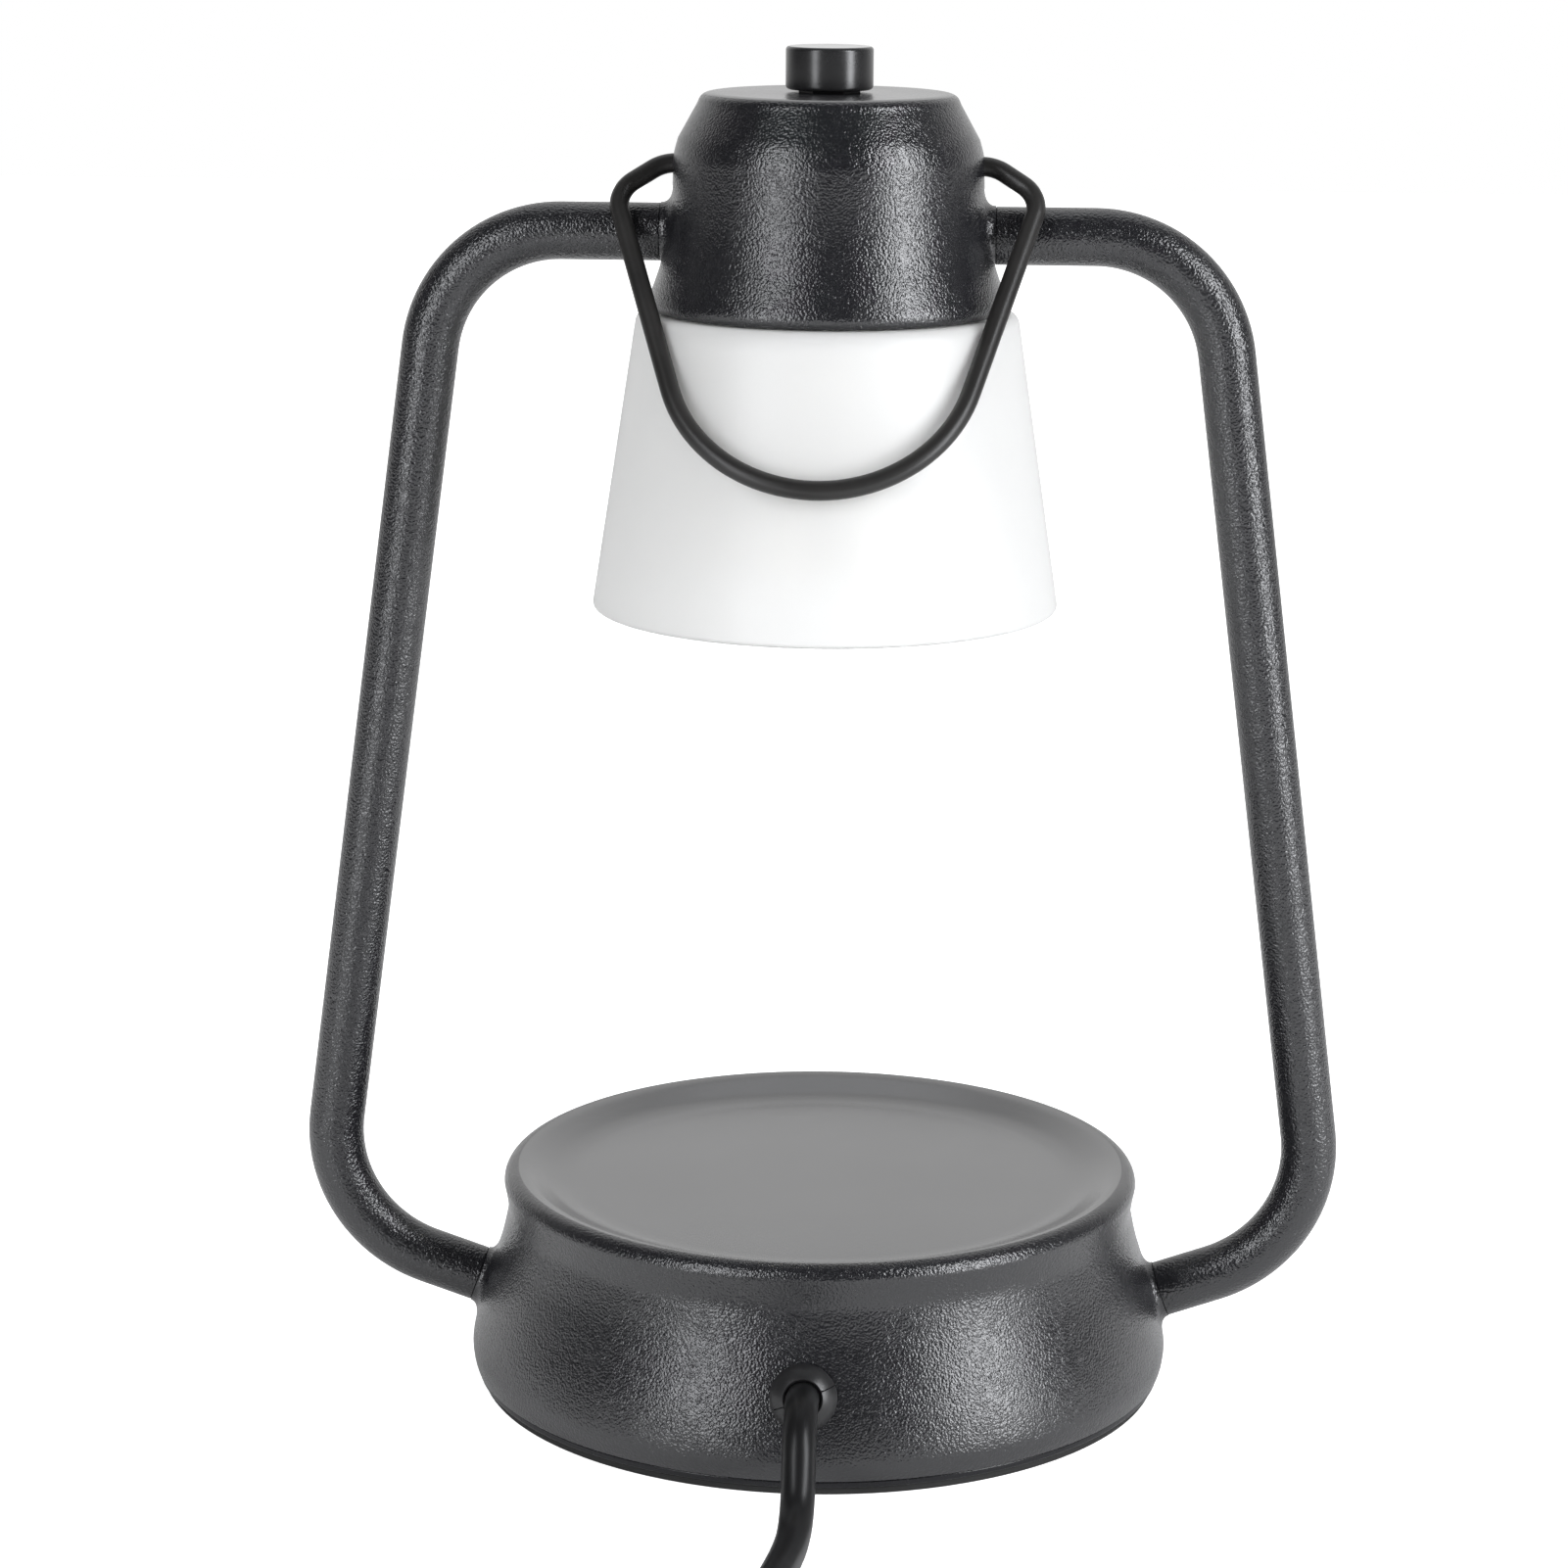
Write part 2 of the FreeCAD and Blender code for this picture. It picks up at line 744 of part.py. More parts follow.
def bail_half():
    """Right half of the wire's axis, hanging straight down from its pivot."""
    bow_centre = bail_drop - bail_bow_r
    across, down = bail_knee_out_x, bow_centre - bail_knee_drop
    # The side runs from the outer knee to the tangent point on the round lower end.
    angle = math.acos(bail_bow_r / math.hypot(across, down)) - math.atan2(down, across)
    tangent = V(bail_bow_r * math.cos(angle), 0, -bow_centre - bail_bow_r * math.sin(angle))
    half_angle = (math.pi / 2 - angle) / 2
    bow_mid = V(bail_bow_r * math.sin(half_angle), 0, -bow_centre - bail_bow_r * math.cos(half_angle))
    corners = [V(waist_r - bail_end_in, 0, 0), V(waist_r + bail_knee_in_out, 0, 0),
               V(bail_knee_out_x, 0, -bail_knee_drop), tangent]
    edges = bent_edges(corners, [bail_knee_in_r, bail_knee_out_r])
    edges.append(arc(tangent, bow_mid, V(0, 0, -bail_drop)))
    return edges


def gap_when_leaning(points, lean):
    """Least gap from the leaning wire to the shade and to the head's rim."""
    slope = math.atan2(shade_bottom_r - shade_top_r, shade_h - shade_corner)
    least = bail_drop
    for point in points:
        r = math.hypot(point.x, point.z * math.sin(lean))
        z = bail_pivot_z + point.z * math.cos(lean)
        if z < shade_top_z:
            least = min(least, (r - shade_r_at(z)) * math.cos(slope) - wire_r)
        elif z < head_point(*head_flank[2]).z:
            least = min(least, r - rim_r - wire_r)
    return least


def bail_lean():
    """The lean from straight down at which the bail lies on the shade."""
    points = Part.Wire(bail_half()).discretize(80)
    low, high = 0.0, math.pi / 2
    for _ in range(40):
        lean = (low + high) / 2
        if gap_when_leaning(points, lean) < bail_rest_gap:
            low = lean
        else:
            high = lean
    return high


def make_bail():
    right = bail_half()
    left = [edge.mirror(V(0, 0, 0), X_AXIS) for edge in right[::-1]]
    bail = pipe(right, wire_r).fuse(pipe(left, wire_r)).removeSplitter()
    bail.rotate(V(0, 0, 0), X_AXIS, -math.degrees(bail_lean()))
    bail.translate(V(0, 0, bail_pivot_z))
    return bail


# Gland


def gland_axis():
    tilt = math.radians(gland_tilt_deg)
    return V(0, -math.cos(tilt), math.sin(tilt))


def gland_seat():
    """Where the gland's axis passes the outside of the base wall, clear of the flank's swell."""
    stand_off = gland_gap + neck_in * max(extra for _, extra in flank_swell)
    return V(0, -base_wall_r(gland_z), gland_z) + gland_axis() * stand_off


def gland_tip():
    return gland_seat() + gland_axis() * gland_dome_h


def gland_hole():
    start = gland_seat() - gland_axis() * (base_wall * 3)
    return cylinder(gland_neck_r + sliding_gap, base_wall * 6, start, gland_axis())


def make_gland():
    """The whole bush, before it is split in two."""
    rise = gland_dome_h
    sphere_r = (gland_flange_r ** 2 + rise ** 2) / (2 * rise)
    mid_angle = math.asin(gland_flange_r / sphere_r) / 2
    inner_z = -base_wall - gland_gap * 3 - neck_in * max(extra for _, extra in flank_swell)
    dome = revolved([
        line(profile_point(0, inner_z - gland_inner_h), profile_point(gland_flange_r, inner_z - gland_inner_h)),
        line(profile_point(gland_flange_r, inner_z - gland_inner_h), profile_point(gland_flange_r, inner_z)),
        line(profile_point(gland_flange_r, inner_z), profile_point(gland_neck_r, inner_z)),
        line(profile_point(gland_neck_r, inner_z), profile_point(gland_neck_r, 0)),
        line(profile_point(gland_neck_r, 0), profile_point(gland_flange_r, 0)),
        arc(profile_point(gland_flange_r, 0),
            profile_point(sphere_r * math.sin(mid_angle), rise - sphere_r + sphere_r * math.cos(mid_angle)),
            profile_point(0, rise)),
        line(profile_point(0, rise), profile_point(0, inner_z - gland_inner_h)),
    ])
    bore = cylinder(cord_d / 2 + sliding_gap, 6 * gland_flange_r, V(0, 0, -3 * gland_flange_r))
    return dome.cut(bore)


def make_gland_half(upper):
    reach = 4 * gland_flange_r
    turned = FreeCAD.Rotation(Z_AXIS, gland_split_deg)
    box = Part.makeBox(2 * reach, reach, 2 * reach, V(-reach, 0 if upper else -reach, -reach))
    box.Placement = FreeCAD.Placement(V(0, 0, 0), turned)
    half = make_gland().common(box)
    # The bush's own X stays along the lamp's X, and its own Z points out along the cord.
    up = gland_axis().cross(X_AXIS)
    half.Placement = FreeCAD.Placement(gland_seat(), FreeCAD.Rotation(X_AXIS, up, gland_axis(), "ZXY"))
    return half


# Cord, coil and plug


def cord_points():
    points = [gland_tip()]
    points.extend(out_from_base(p) for p in cord_route)
    points.append(out_from_base(coil_start_place))
    return points


def out_from_base(place):
    across, out, up = place
    return V(across, -base_r - out, up)


def make_cord_inner():
    """The end of the cord inside the base, cut off square to the terminal block."""
    block_face_y = block_y - block_l / 2
    run = cylinder(cord_d / 2, 2 * base_r, gland_tip(), gland_axis() * -1)
    keep = Part.makeBox(4 * base_r, 4 * base_r, 4 * base_r, V(-2 * base_r, block_face_y - 4 * base_r, -base_r))
    return run.common(keep)


def heading_vector():
    heading = math.radians(coil_heading_deg)
    return V(-math.sin(heading), -math.cos(heading), 0)


def half_turn(start, heading, radius):
    """A flat half turn to the right of the heading."""
    right = V(heading.y, -heading.x, 0)
    centre = start + right * radius
    end = start + right * (2 * radius)
    return arc(start, centre + heading * radius, end), end


def biarc(p0, t0, p1, t1):
    """Two tangent arcs from p0 to p1 with the given end directions."""
    chord = p1 - p0
    both = t0 + t1
    lead = 2 * (1 - t0.dot(t1))
    size = (-chord.dot(both) + math.sqrt(chord.dot(both) ** 2 + lead * chord.dot(chord))) / lead
    joint = (p0 + p1 + (t0 - t1) * size) * 0.5
    return [tangent_arc(p0, t0, joint), tangent_arc(p1, t1 * -1, joint)]


def tangent_arc(start, tangent, end):
    chord = end - start
    along = V(chord).normalize()
    sideways = (tangent - along * tangent.dot(along)).normalize()
    bulge = chord.Length / 2 * math.tan(tangent.getAngle(chord) / 2)
    return arc(start, (start + end) * 0.5 + sideways * bulge, end)


def climbing_half_turn(start, heading, radius, climb):
    """A half turn to the right that also climbs one layer, level at both ends."""
    right = V(heading.y, -heading.x, 0)
    centre = start + right * radius
    middle = centre + heading * radius + Z_AXIS * (climb / 2)
    end = start + right * (2 * radius) + Z_AXIS * climb
    slope = 1.5 * climb / (math.pi * radius)
    middle_dir = (right + Z_AXIS * slope).normalize()
    edges = biarc(start, heading, middle, middle_dir)
    edges.extend(biarc(middle, middle_dir, end, heading * -1))
    return edges, end


def coil_turns_length(first_r):
    step = (cord_d + coil_gap) / 2
    total = 0
    for k in range(coil_inward_halves):
        total += math.pi * (first_r - k * step)
    inner = first_r - coil_inward_halves * step
    total += math.pi * inner
    for k in range(coil_outward_halves):
        total += math.pi * (inner + (k + 1) * step)
    return total


def coil_first_r(run_length):
    """Radius of the first half turn that uses up the cord's length."""
    wanted = cord_length - run_length - coil_lead_in - coil_tail
    halves = coil_inward_halves + coil_outward_halves + 1
    step_loss = coil_turns_length(0) / math.pi
    return (wanted / math.pi - step_loss) / halves


def coil_edges(run_length):
    heading = heading_vector()
    start = out_from_base(coil_start_place)
    at = start + heading * coil_lead_in
    edges = [line(start, at)]
    step = (cord_d + coil_gap) / 2
    radius = coil_first_r(run_length)
    for _ in range(coil_inward_halves):
        edge, at = half_turn(at, heading, radius)
        edges.append(edge)
        heading = heading * -1
        radius -= step
    climb, at = climbing_half_turn(at, heading, radius, cord_d + coil_gap)
    edges.extend(climb)
    heading = heading * -1
    for _ in range(coil_outward_halves):
        radius += step
        edge, at = half_turn(at, heading, radius)
        edges.append(edge)
        heading = heading * -1
    end = at + heading * coil_tail
    edges.append(line(at, end))
    return edges, end, heading


def least_gap(edges, diameter):
    """Least gap of the wound tube to itself, measured on points along its axis."""
    spacing = 2.5
    points = Part.Wire(edges).discretize(int(length_of(edges) / spacing))
    skipped = int(4 * diameter / spacing)
    least = length_of(edges)
    for i, a in enumerate(points):
        for b in points[i + skipped:]:
            least = min(least, a.distanceToPoint(b))
    return least - diameter


def plug_frame():
    """Placement of the plug: its own Z runs from the cord to the pins, its own Y is up."""
    edges, end, heading = coil_edges(length_of(run_edges()))
    across = heading.cross(Z_AXIS) * -1
    return FreeCAD.Placement(end, FreeCAD.Rotation(across, Z_AXIS, heading, "ZXY"))


def run_edges():
    points = cord_points()
    return bent_edges(points, route_radii(points))


def make_plug_sleeve():
    sleeve = Part.makeCone(sleeve_thin_r, sleeve_thick_r, sleeve_l)
    sleeve.Placement = plug_frame()
    return sleeve


def stadium(width, height, z):
    straight = (width - height) / 2
    r = height / 2
    return Part.Wire([
        line(V(-straight, -r, z), V(straight, -r, z)),
        arc(V(straight, -r, z), V(straight + r, 0, z), V(straight, r, z)),
        line(V(straight, r, z), V(-straight, r, z)),
        arc(V(-straight, r, z), V(-straight - r, 0, z), V(-straight, -r, z)),
    ])


def make_plug_body():
    edges, end, heading = coil_edges(length_of(run_edges()))
    full_h = 2 * (end.z - cord_lift)
    shoulder = sleeve_l + plug_l * 0.45
    body = Part.makeLoft([stadium(plug_neck_w, plug_neck_h, sleeve_l), stadium(plug_w, full_h, shoulder)],
                         True, True)
    face = Part.Face(stadium(plug_w, full_h, shoulder))
    body = body.fuse(face.extrude(V(0, 0, plug_l * 0.55))).removeSplitter()
    body.Placement = plug_frame()
    return body


def make_plug_pins():
    pins = []
    for side in (1, -1):
        pin = cylinder(plug_pin_r, plug_pin_l, V(side * plug_pin_pitch / 2, 0, sleeve_l + plug_l))
        pins.append(pin)
    group = Part.makeCompound(pins)
    group.Placement = plug_frame()
    return group


# Wiring inside


def make_terminal_block():
    return Part.makeBox(block_w, block_l, block_h, V(-block_w / 2, block_y - block_l / 2, ballast_top_z))


def make_terminal_screws():
    screws = []
    for side in (-1, 0, 1):
        at = V(side * block_w / 3, block_y, ballast_top_z + block_h)
        screws.append(cylinder(block_screw_r, 1.2, at))
    return Part.makeCompound(screws)


def make_inner_flex():
    block_side = V(block_w / 2, block_y + flex_exit_y, ballast_top_z + flex_exit_h)
    last = V(holder_r + loose_gap, 0, upper_arm_z)
    points = [block_side, block_side + X_AXIS * (block_w * 0.9), arm_point(ballast_r),
              lower_corner(), upper_corner(), last]
    first_radii = route_radii(points)
    radii = first_radii[:2] + [lower_bend_r, upper_bend_r]
    return pipe(bent_edges(points, radii), flex_r)


def make_dimmer_leads():
    z0 = cover_top_z + holder_top_h
    z1 = head_roof_z - dimmer_h
    return Part.makeCompound([cylinder(lead_r, z1 - z0, V(0, side * lead_y, z0)) for side in (1, -1)])


def build():
    tube = make_frame_tube()
    cord_run = run_edges()
    coil, coil_end, _ = coil_edges(length_of(cord_run))
    nodes = {
        "foot_pad": make_foot_pad(),
        "bottom_plate": make_bottom_plate(),
        "plate_screws": make_plate_screws(),
        "base_shell": make_base_shell(),
        "ballast_disc": make_ballast(),
        "terminal_block": make_terminal_block(),
        "terminal_screws": make_terminal_screws(),
        "frame_tube_right": tube,
        "frame_tube_left": mirrored(tube),
        "base_lock_washers": make_lock_washers(base_boss_places(), base_boss_in),
        "base_lock_nuts": make_lock_nuts(base_boss_places(), base_boss_in),
        "head_lock_washers": make_lock_washers(head_boss_places(), head_boss_in),
        "head_lock_nuts": make_lock_nuts(head_boss_places(), head_boss_in),
        "inner_flex": make_inner_flex(),
        "head_shell": make_head_shell(),
        "head_cover": make_head_cover(),
        "cover_screws": make_cover_screws(),
        "dimmer_module": make_dimmer(),
        "dimmer_nut": make_dimmer_nut(),
        "dimmer_leads": make_dimmer_leads(),
        "dimmer_shaft": make_dimmer_shaft(),
        "dimmer_knob": make_knob(),
        "lampholder": make_lampholder(),
        "shade_gasket": make_shade_gasket(),
        "glass_shade": make_shade(),
        "shade_ring": make_shade_ring(),
        "bulb_reflector": make_bulb_body(),
        "bulb_lens": make_bulb_lens(),
        "bulb_pins": make_bulb_pins(),
        "bail": make_bail(),
        "gland_upper_half": make_gland_half(True),
        "gland_lower_half": make_gland_half(False),
        "cord_inner": make_cord_inner(),
        "cord_run": pipe(cord_run, cord_d / 2),
        "cord_coil": pipe(coil, cord_d / 2),
        "plug_sleeve": make_plug_sleeve(),
        "plug_body": make_plug_body(),
        "plug_pins": make_plug_pins(),
    }
    section = math.pi * (cord_d / 2) ** 2
    print("cord radii", [round(r, 1) for r in route_radii(cord_points())])
    print("cord lengths", round(length_of(cord_run), 1), round(length_of(coil), 1))
    for name, edges in (("cord_run", cord_run), ("cord_coil", coil)):
        print(name, "volume against section times length",
              round(nodes[name].Volume / (section * length_of(edges)), 4))
    print("bail lean", round(math.degrees(bail_lean()), 2))
    print("coil first radius", round(coil_first_r(length_of(cord_run)), 2),
          "least gap", round(least_gap(coil, cord_d), 3))
    return nodes


os.makedirs("parts", exist_ok=True)
for node_name, node_shape in build().items():
    if not node_shape.isValid():
        print("not valid:", node_name)
    node_shape.exportStep(os.path.join("parts", node_name + ".step"))
    print(node_name, len(node_shape.Solids), round(node_shape.Volume, 1))
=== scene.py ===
"""Dressed model of a candle warmer lamp: base, bent tubes, head with dimmer, bail and glass."""

import logging
import math
from dataclasses import dataclass, field
from enum import Enum
from typing import Optional, Sequence

import bpy
from mathutils import Matrix, Vector


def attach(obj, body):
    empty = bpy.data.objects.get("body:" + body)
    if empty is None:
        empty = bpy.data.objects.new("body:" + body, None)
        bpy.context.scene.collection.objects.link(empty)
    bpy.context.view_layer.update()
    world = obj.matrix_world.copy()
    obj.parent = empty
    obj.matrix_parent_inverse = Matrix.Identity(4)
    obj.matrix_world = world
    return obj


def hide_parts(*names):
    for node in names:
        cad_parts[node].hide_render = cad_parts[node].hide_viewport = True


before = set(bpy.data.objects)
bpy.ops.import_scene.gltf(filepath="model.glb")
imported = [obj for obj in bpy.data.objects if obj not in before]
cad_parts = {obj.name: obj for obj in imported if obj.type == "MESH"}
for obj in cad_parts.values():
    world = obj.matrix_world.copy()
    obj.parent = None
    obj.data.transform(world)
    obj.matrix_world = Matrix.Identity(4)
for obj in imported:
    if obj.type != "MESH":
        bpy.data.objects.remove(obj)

log = logging.getLogger("lamp")

MM = 0.001
# Vertices nearer to each other than this, in millimetres, are merged.
MERGE = 0.001
Pair = tuple[float, float]
Colour = tuple[float, float, float]
VECTOR_MATH = "ShaderNodeVectorMath"

Object = bpy.types.Object
Material = bpy.types.Material
NodeTree = bpy.types.NodeTree
Node = bpy.types.Node
Socket = bpy.types.NodeSocket

# Sides of turned pieces, by how large they are seen.
FINE_SIDES = 192
MIDDLE_SIDES = 160
SMALL_SIDES = 128
INNER_SIDES = 96


class Body(Enum):
    """The rigid bodies that pieces ride on."""

    FRAME = "lamp_frame"
    BAIL = "bail"
    KNOB = "knob"


class Half(Enum):
    """The two halves of a part that is split along its axis."""

    UPPER = 1
    LOWER = -1


# Small geometry helpers


def arc_pairs(centre: Pair, radius: float, start: float, end: float, steps: int = 8) -> list[Pair]:
    """Points on an arc.

    Args:
        centre: Middle of the arc, as radius and height.
        radius: Radius of the arc.
        start: First angle in degrees, 0 pointing outwards and 90 up.
        end: Last angle in degrees.
        steps: How many pieces the arc has.

    Returns:
        The points, both ends included.
    """
    points = []
    for k in range(steps + 1):
        angle = math.radians(start + (end - start) * k / steps)
        points.append((centre[0] + radius * math.cos(angle), centre[1] + radius * math.sin(angle)))
    return points


def rolled_disc(radius: float, low: float, high: float, rolled: float) -> list[Pair]:
    """Outline of a flat disc whose edges are rounded.

    Args:
        radius: Outer radius.
        low: Height of its underside.
        high: Height of its top.
        rolled: Radius of both roundings.

    Returns:
        The outline, from the middle of the underside to the middle of the top.
    """
    ring = radius - rolled
    return [(0, low), *arc_pairs((ring, low + rolled), rolled, -90, 0, 4),
            *arc_pairs((ring, high - rolled), rolled, 0, 90, 4), (0, high)]


def smooth_pairs(points: Sequence[Pair], steps: int = 6) -> list[Pair]:
    """A smooth line through given points.

    Args:
        points: The points that the line passes through.
        steps: How many pieces lie between two of them.

    Returns:
        The points of the smooth line, both ends included.
    """
    ends = [points[0], *points, points[-1]]
    line = []
    for k in range(len(points) - 1):
        for j in range(steps):
            t = j / steps
            line.append(tuple(
                0.5 * (2 * b + (c - a) * t + (2 * a - 5 * b + 4 * c - d) * t ** 2
                       + (3 * b - a - 3 * c + d) * t ** 3)
                for a, b, c, d in zip(*ends[k:k + 4])))
    line.append(points[-1])
    return line


def radius_at(outline: Sequence[Pair], height: float) -> float:
    """Radius of a rising outline at a height.

    Args:
        outline: Pairs of radius and height, from low to high.
        height: The height that is asked for.

    Returns:
        The radius there.
    """
    for (r0, z0), (r1, z1) in zip(outline, outline[1:]):
        if z0 <= height <= z1 and z1 > z0:
            return r0 + (r1 - r0) * (height - z0) / (z1 - z0)
    return outline[-1][0] if height > outline[-1][1] else outline[0][0]


# Modelling helpers


def clear_selection() -> None:
    """Leaves edit mode and deselects everything."""
    if bpy.context.mode != "OBJECT":
        bpy.ops.object.mode_set(mode="OBJECT")
    bpy.ops.object.select_all(action="DESELECT")


def select_only(obj: Object) -> None:
    """Makes one object the only selected and the active one."""
    clear_selection()
    obj.select_set(True)
    bpy.context.view_layer.objects.active = obj


def finish_mesh(name: str, smooth_angle: float = 35.0) -> Object:
    """Closes seams of the mesh being edited, turns its faces outwards and shades it.

    Args:
        name: Name of the finished piece.
        smooth_angle: Edges sharper than this stay sharp, in degrees.

    Returns:
        The piece.
    """
    bpy.ops.mesh.select_all(action="SELECT")
    bpy.ops.mesh.remove_doubles(threshold=MERGE * MM)
    bpy.ops.mesh.normals_make_consistent(inside=False)
    bpy.ops.object.mode_set(mode="OBJECT")
    obj = bpy.context.view_layer.objects.active
    obj.name = name
    obj.data.name = name
    bpy.ops.object.shade_smooth_by_angle(angle=math.radians(smooth_angle))
    return obj


def turned(name: str, outline: Sequence[Pair], steps: int) -> Object:
    """Turns an outline round the Z axis, as on a lathe.

    Args:
        name: Name of the piece.
        outline: Pairs of radius and height in millimetres, joined from last to first.
        steps: Sides of the turned piece.

    Returns:
        The turned piece.
    """
    points = [*outline, outline[0]]
    clear_selection()
    bpy.ops.mesh.primitive_plane_add(size=MM)
    bpy.ops.object.mode_set(mode="EDIT")
    bpy.ops.mesh.select_all(action="SELECT")
    bpy.ops.mesh.merge(type="CENTER")
    bpy.ops.transform.translate(value=(points[0][0] * MM, 0, points[0][1] * MM))
    for (r0, z0), (r1, z1) in zip(points, points[1:]):
        bpy.ops.mesh.extrude_vertices_move(
            TRANSFORM_OT_translate={"value": ((r1 - r0) * MM, 0, (z1 - z0) * MM)})
    bpy.ops.mesh.select_all(action="SELECT")
    bpy.ops.mesh.spin(steps=steps, angle=2 * math.pi, center=(0, 0, 0), axis=(0, 0, 1))
    return finish_mesh(name)


def start_ring(centre: Vector, along: Vector, radius: float, sides: int = 48) -> None:
    """Adds a ring of edges and goes into edit mode with it selected.

    Args:
        centre: Middle of the ring in millimetres.
        along: Direction that the ring faces.
        radius: Radius in millimetres.
        sides: Number of edges.
    """
    clear_selection()
    turn = along.to_track_quat("Z", "Y").to_euler()
    bpy.ops.mesh.primitive_circle_add(vertices=sides, radius=radius * MM, location=centre * MM,
                                      rotation=turn)
    bpy.ops.object.transform_apply(location=True, rotation=True, scale=True)
    bpy.ops.object.mode_set(mode="EDIT")
    bpy.ops.mesh.select_all(action="SELECT")


def push_ring(by: Vector) -> None:
    """Extrudes the selected ring by a vector in millimetres."""
    bpy.ops.mesh.extrude_region_move(TRANSFORM_OT_translate={"value": by * MM})


def scale_ring(about: Vector, factor: float) -> None:
    """Scales the selected ring about a point in millimetres."""
    bpy.ops.transform.resize(value=(factor, factor, factor), center_override=about * MM)


def cap_ring(obj: Object, first: int, sides: int) -> None:
    """Closes one ring of an object's vertices with a face and stays in edit mode.

    Args:
        obj: The object.
        first: Number of the ring's first vertex.
        sides: How many vertices the ring has.
    """
    bpy.ops.object.mode_set(mode="EDIT")
    bpy.ops.mesh.select_mode(type="VERT")
    bpy.ops.mesh.select_all(action="DESELECT")
    bpy.ops.object.mode_set(mode="OBJECT")
    for vertex in obj.data.vertices[first:first + sides]:
        vertex.select = True
    bpy.ops.object.mode_set(mode="EDIT")
    bpy.ops.mesh.edge_face_add()


def tube_along(name: str, corners: Sequence[Vector], bends: Sequence[float], radius: float,
               chamfer: float = 0.0, sides: int = 48) -> Object:
    """A round bar or tube that is bent at corners.

    Args:
        name: Name of the piece.
        corners: Ends and corners of the axis, in millimetres.
        bends: Radius of the axis at each inner corner.
        radius: Radius of the bar.
        chamfer: Width of the chamfer at both ends.
        sides: Sides of the bar's section.

    Returns:
        The bent bar, closed at both ends.
    """
    first = (corners[1] - corners[0]).normalized()
    start_ring(corners[0], first, radius - chamfer, sides)
    at = corners[0]
    if chamfer:
        push_ring(first * chamfer)
        at = at + first * chamfer
        scale_ring(at, radius / (radius - chamfer))
    for before, corner, after, bend in zip(corners, corners[1:], corners[2:], bends):
        into = (corner - before).normalized()
        out = (after - corner).normalized()
        turn = into.angle(out)
        reach = bend * math.tan(turn / 2)
        begin = corner - into * reach
        push_ring(begin - at)
        axis = into.cross(out).normalized()
        centre = begin + axis.cross(into).normalized() * bend
        steps = max(8, int(math.degrees(turn) / 3))
        bpy.ops.mesh.spin(steps=steps, angle=-turn, center=centre * MM, axis=axis)
        at = corner + out * reach
    last = (corners[-1] - corners[-2]).normalized()
    push_ring(corners[-1] - last * chamfer - at)
    if chamfer:
        push_ring(last * chamfer)
        scale_ring(corners[-1], (radius - chamfer) / radius)
    bpy.ops.mesh.edge_face_add()
    bpy.ops.mesh.select_all(action="DESELECT")
    bpy.ops.mesh.select_mode(type="VERT")
    bpy.ops.mesh.select_non_manifold()
    bpy.ops.mesh.edge_face_add()
    return finish_mesh(name, smooth_angle=30)


def placed(obj: Object, matrix: Matrix) -> Object:
    """Places a piece and applies its place to its mesh.

    Args:
        obj: The piece, still at the origin.
        matrix: Its place, with the offset in millimetres.

    Returns:
        The piece, with its own origin at the world's.
    """
    in_metres = matrix.copy()
    in_metres.translation = matrix.translation * MM
    select_only(obj)
    obj.matrix_world = in_metres
    bpy.ops.object.transform_apply(location=True, rotation=True, scale=True)
    return obj


def joined(pieces: Sequence[Object]) -> Object:
    """Joins pieces into the first one."""
    clear_selection()
    for piece in pieces:
        piece.select_set(True)
    bpy.context.view_layer.objects.active = pieces[0]
    bpy.ops.object.join()
    return pieces[0]


def axes_matrix(across: Vector, up: Vector, along: Vector, at: Vector) -> Matrix:
    """A place whose X, Y and Z run across, up and along, with its origin in millimetres."""
    matrix = Matrix((across, up, along)).transposed().to_4x4()
    matrix.translation = at
    return matrix


def bevelled(obj: Object, width: float, segments: int, angle: float) -> Object:
    """Rounds the edges of a piece that are sharper than an angle.

    Args:
        obj: The piece.
        width: Width of the rounding in millimetres.
        segments: Facets across it.
        angle: Smallest angle that is rounded, in degrees.

    Returns:
        The piece, with the rounding applied.
    """
    select_only(obj)
    modifier = obj.modifiers.new("rounding", "BEVEL")
    modifier.width = width * MM
    modifier.segments = segments
    modifier.limit_method = "ANGLE"
    modifier.angle_limit = math.radians(angle)
    modifier.harden_normals = False
    bpy.ops.object.modifier_apply(modifier=modifier.name)
    bpy.ops.object.shade_smooth_by_angle(angle=math.radians(35))
    return obj


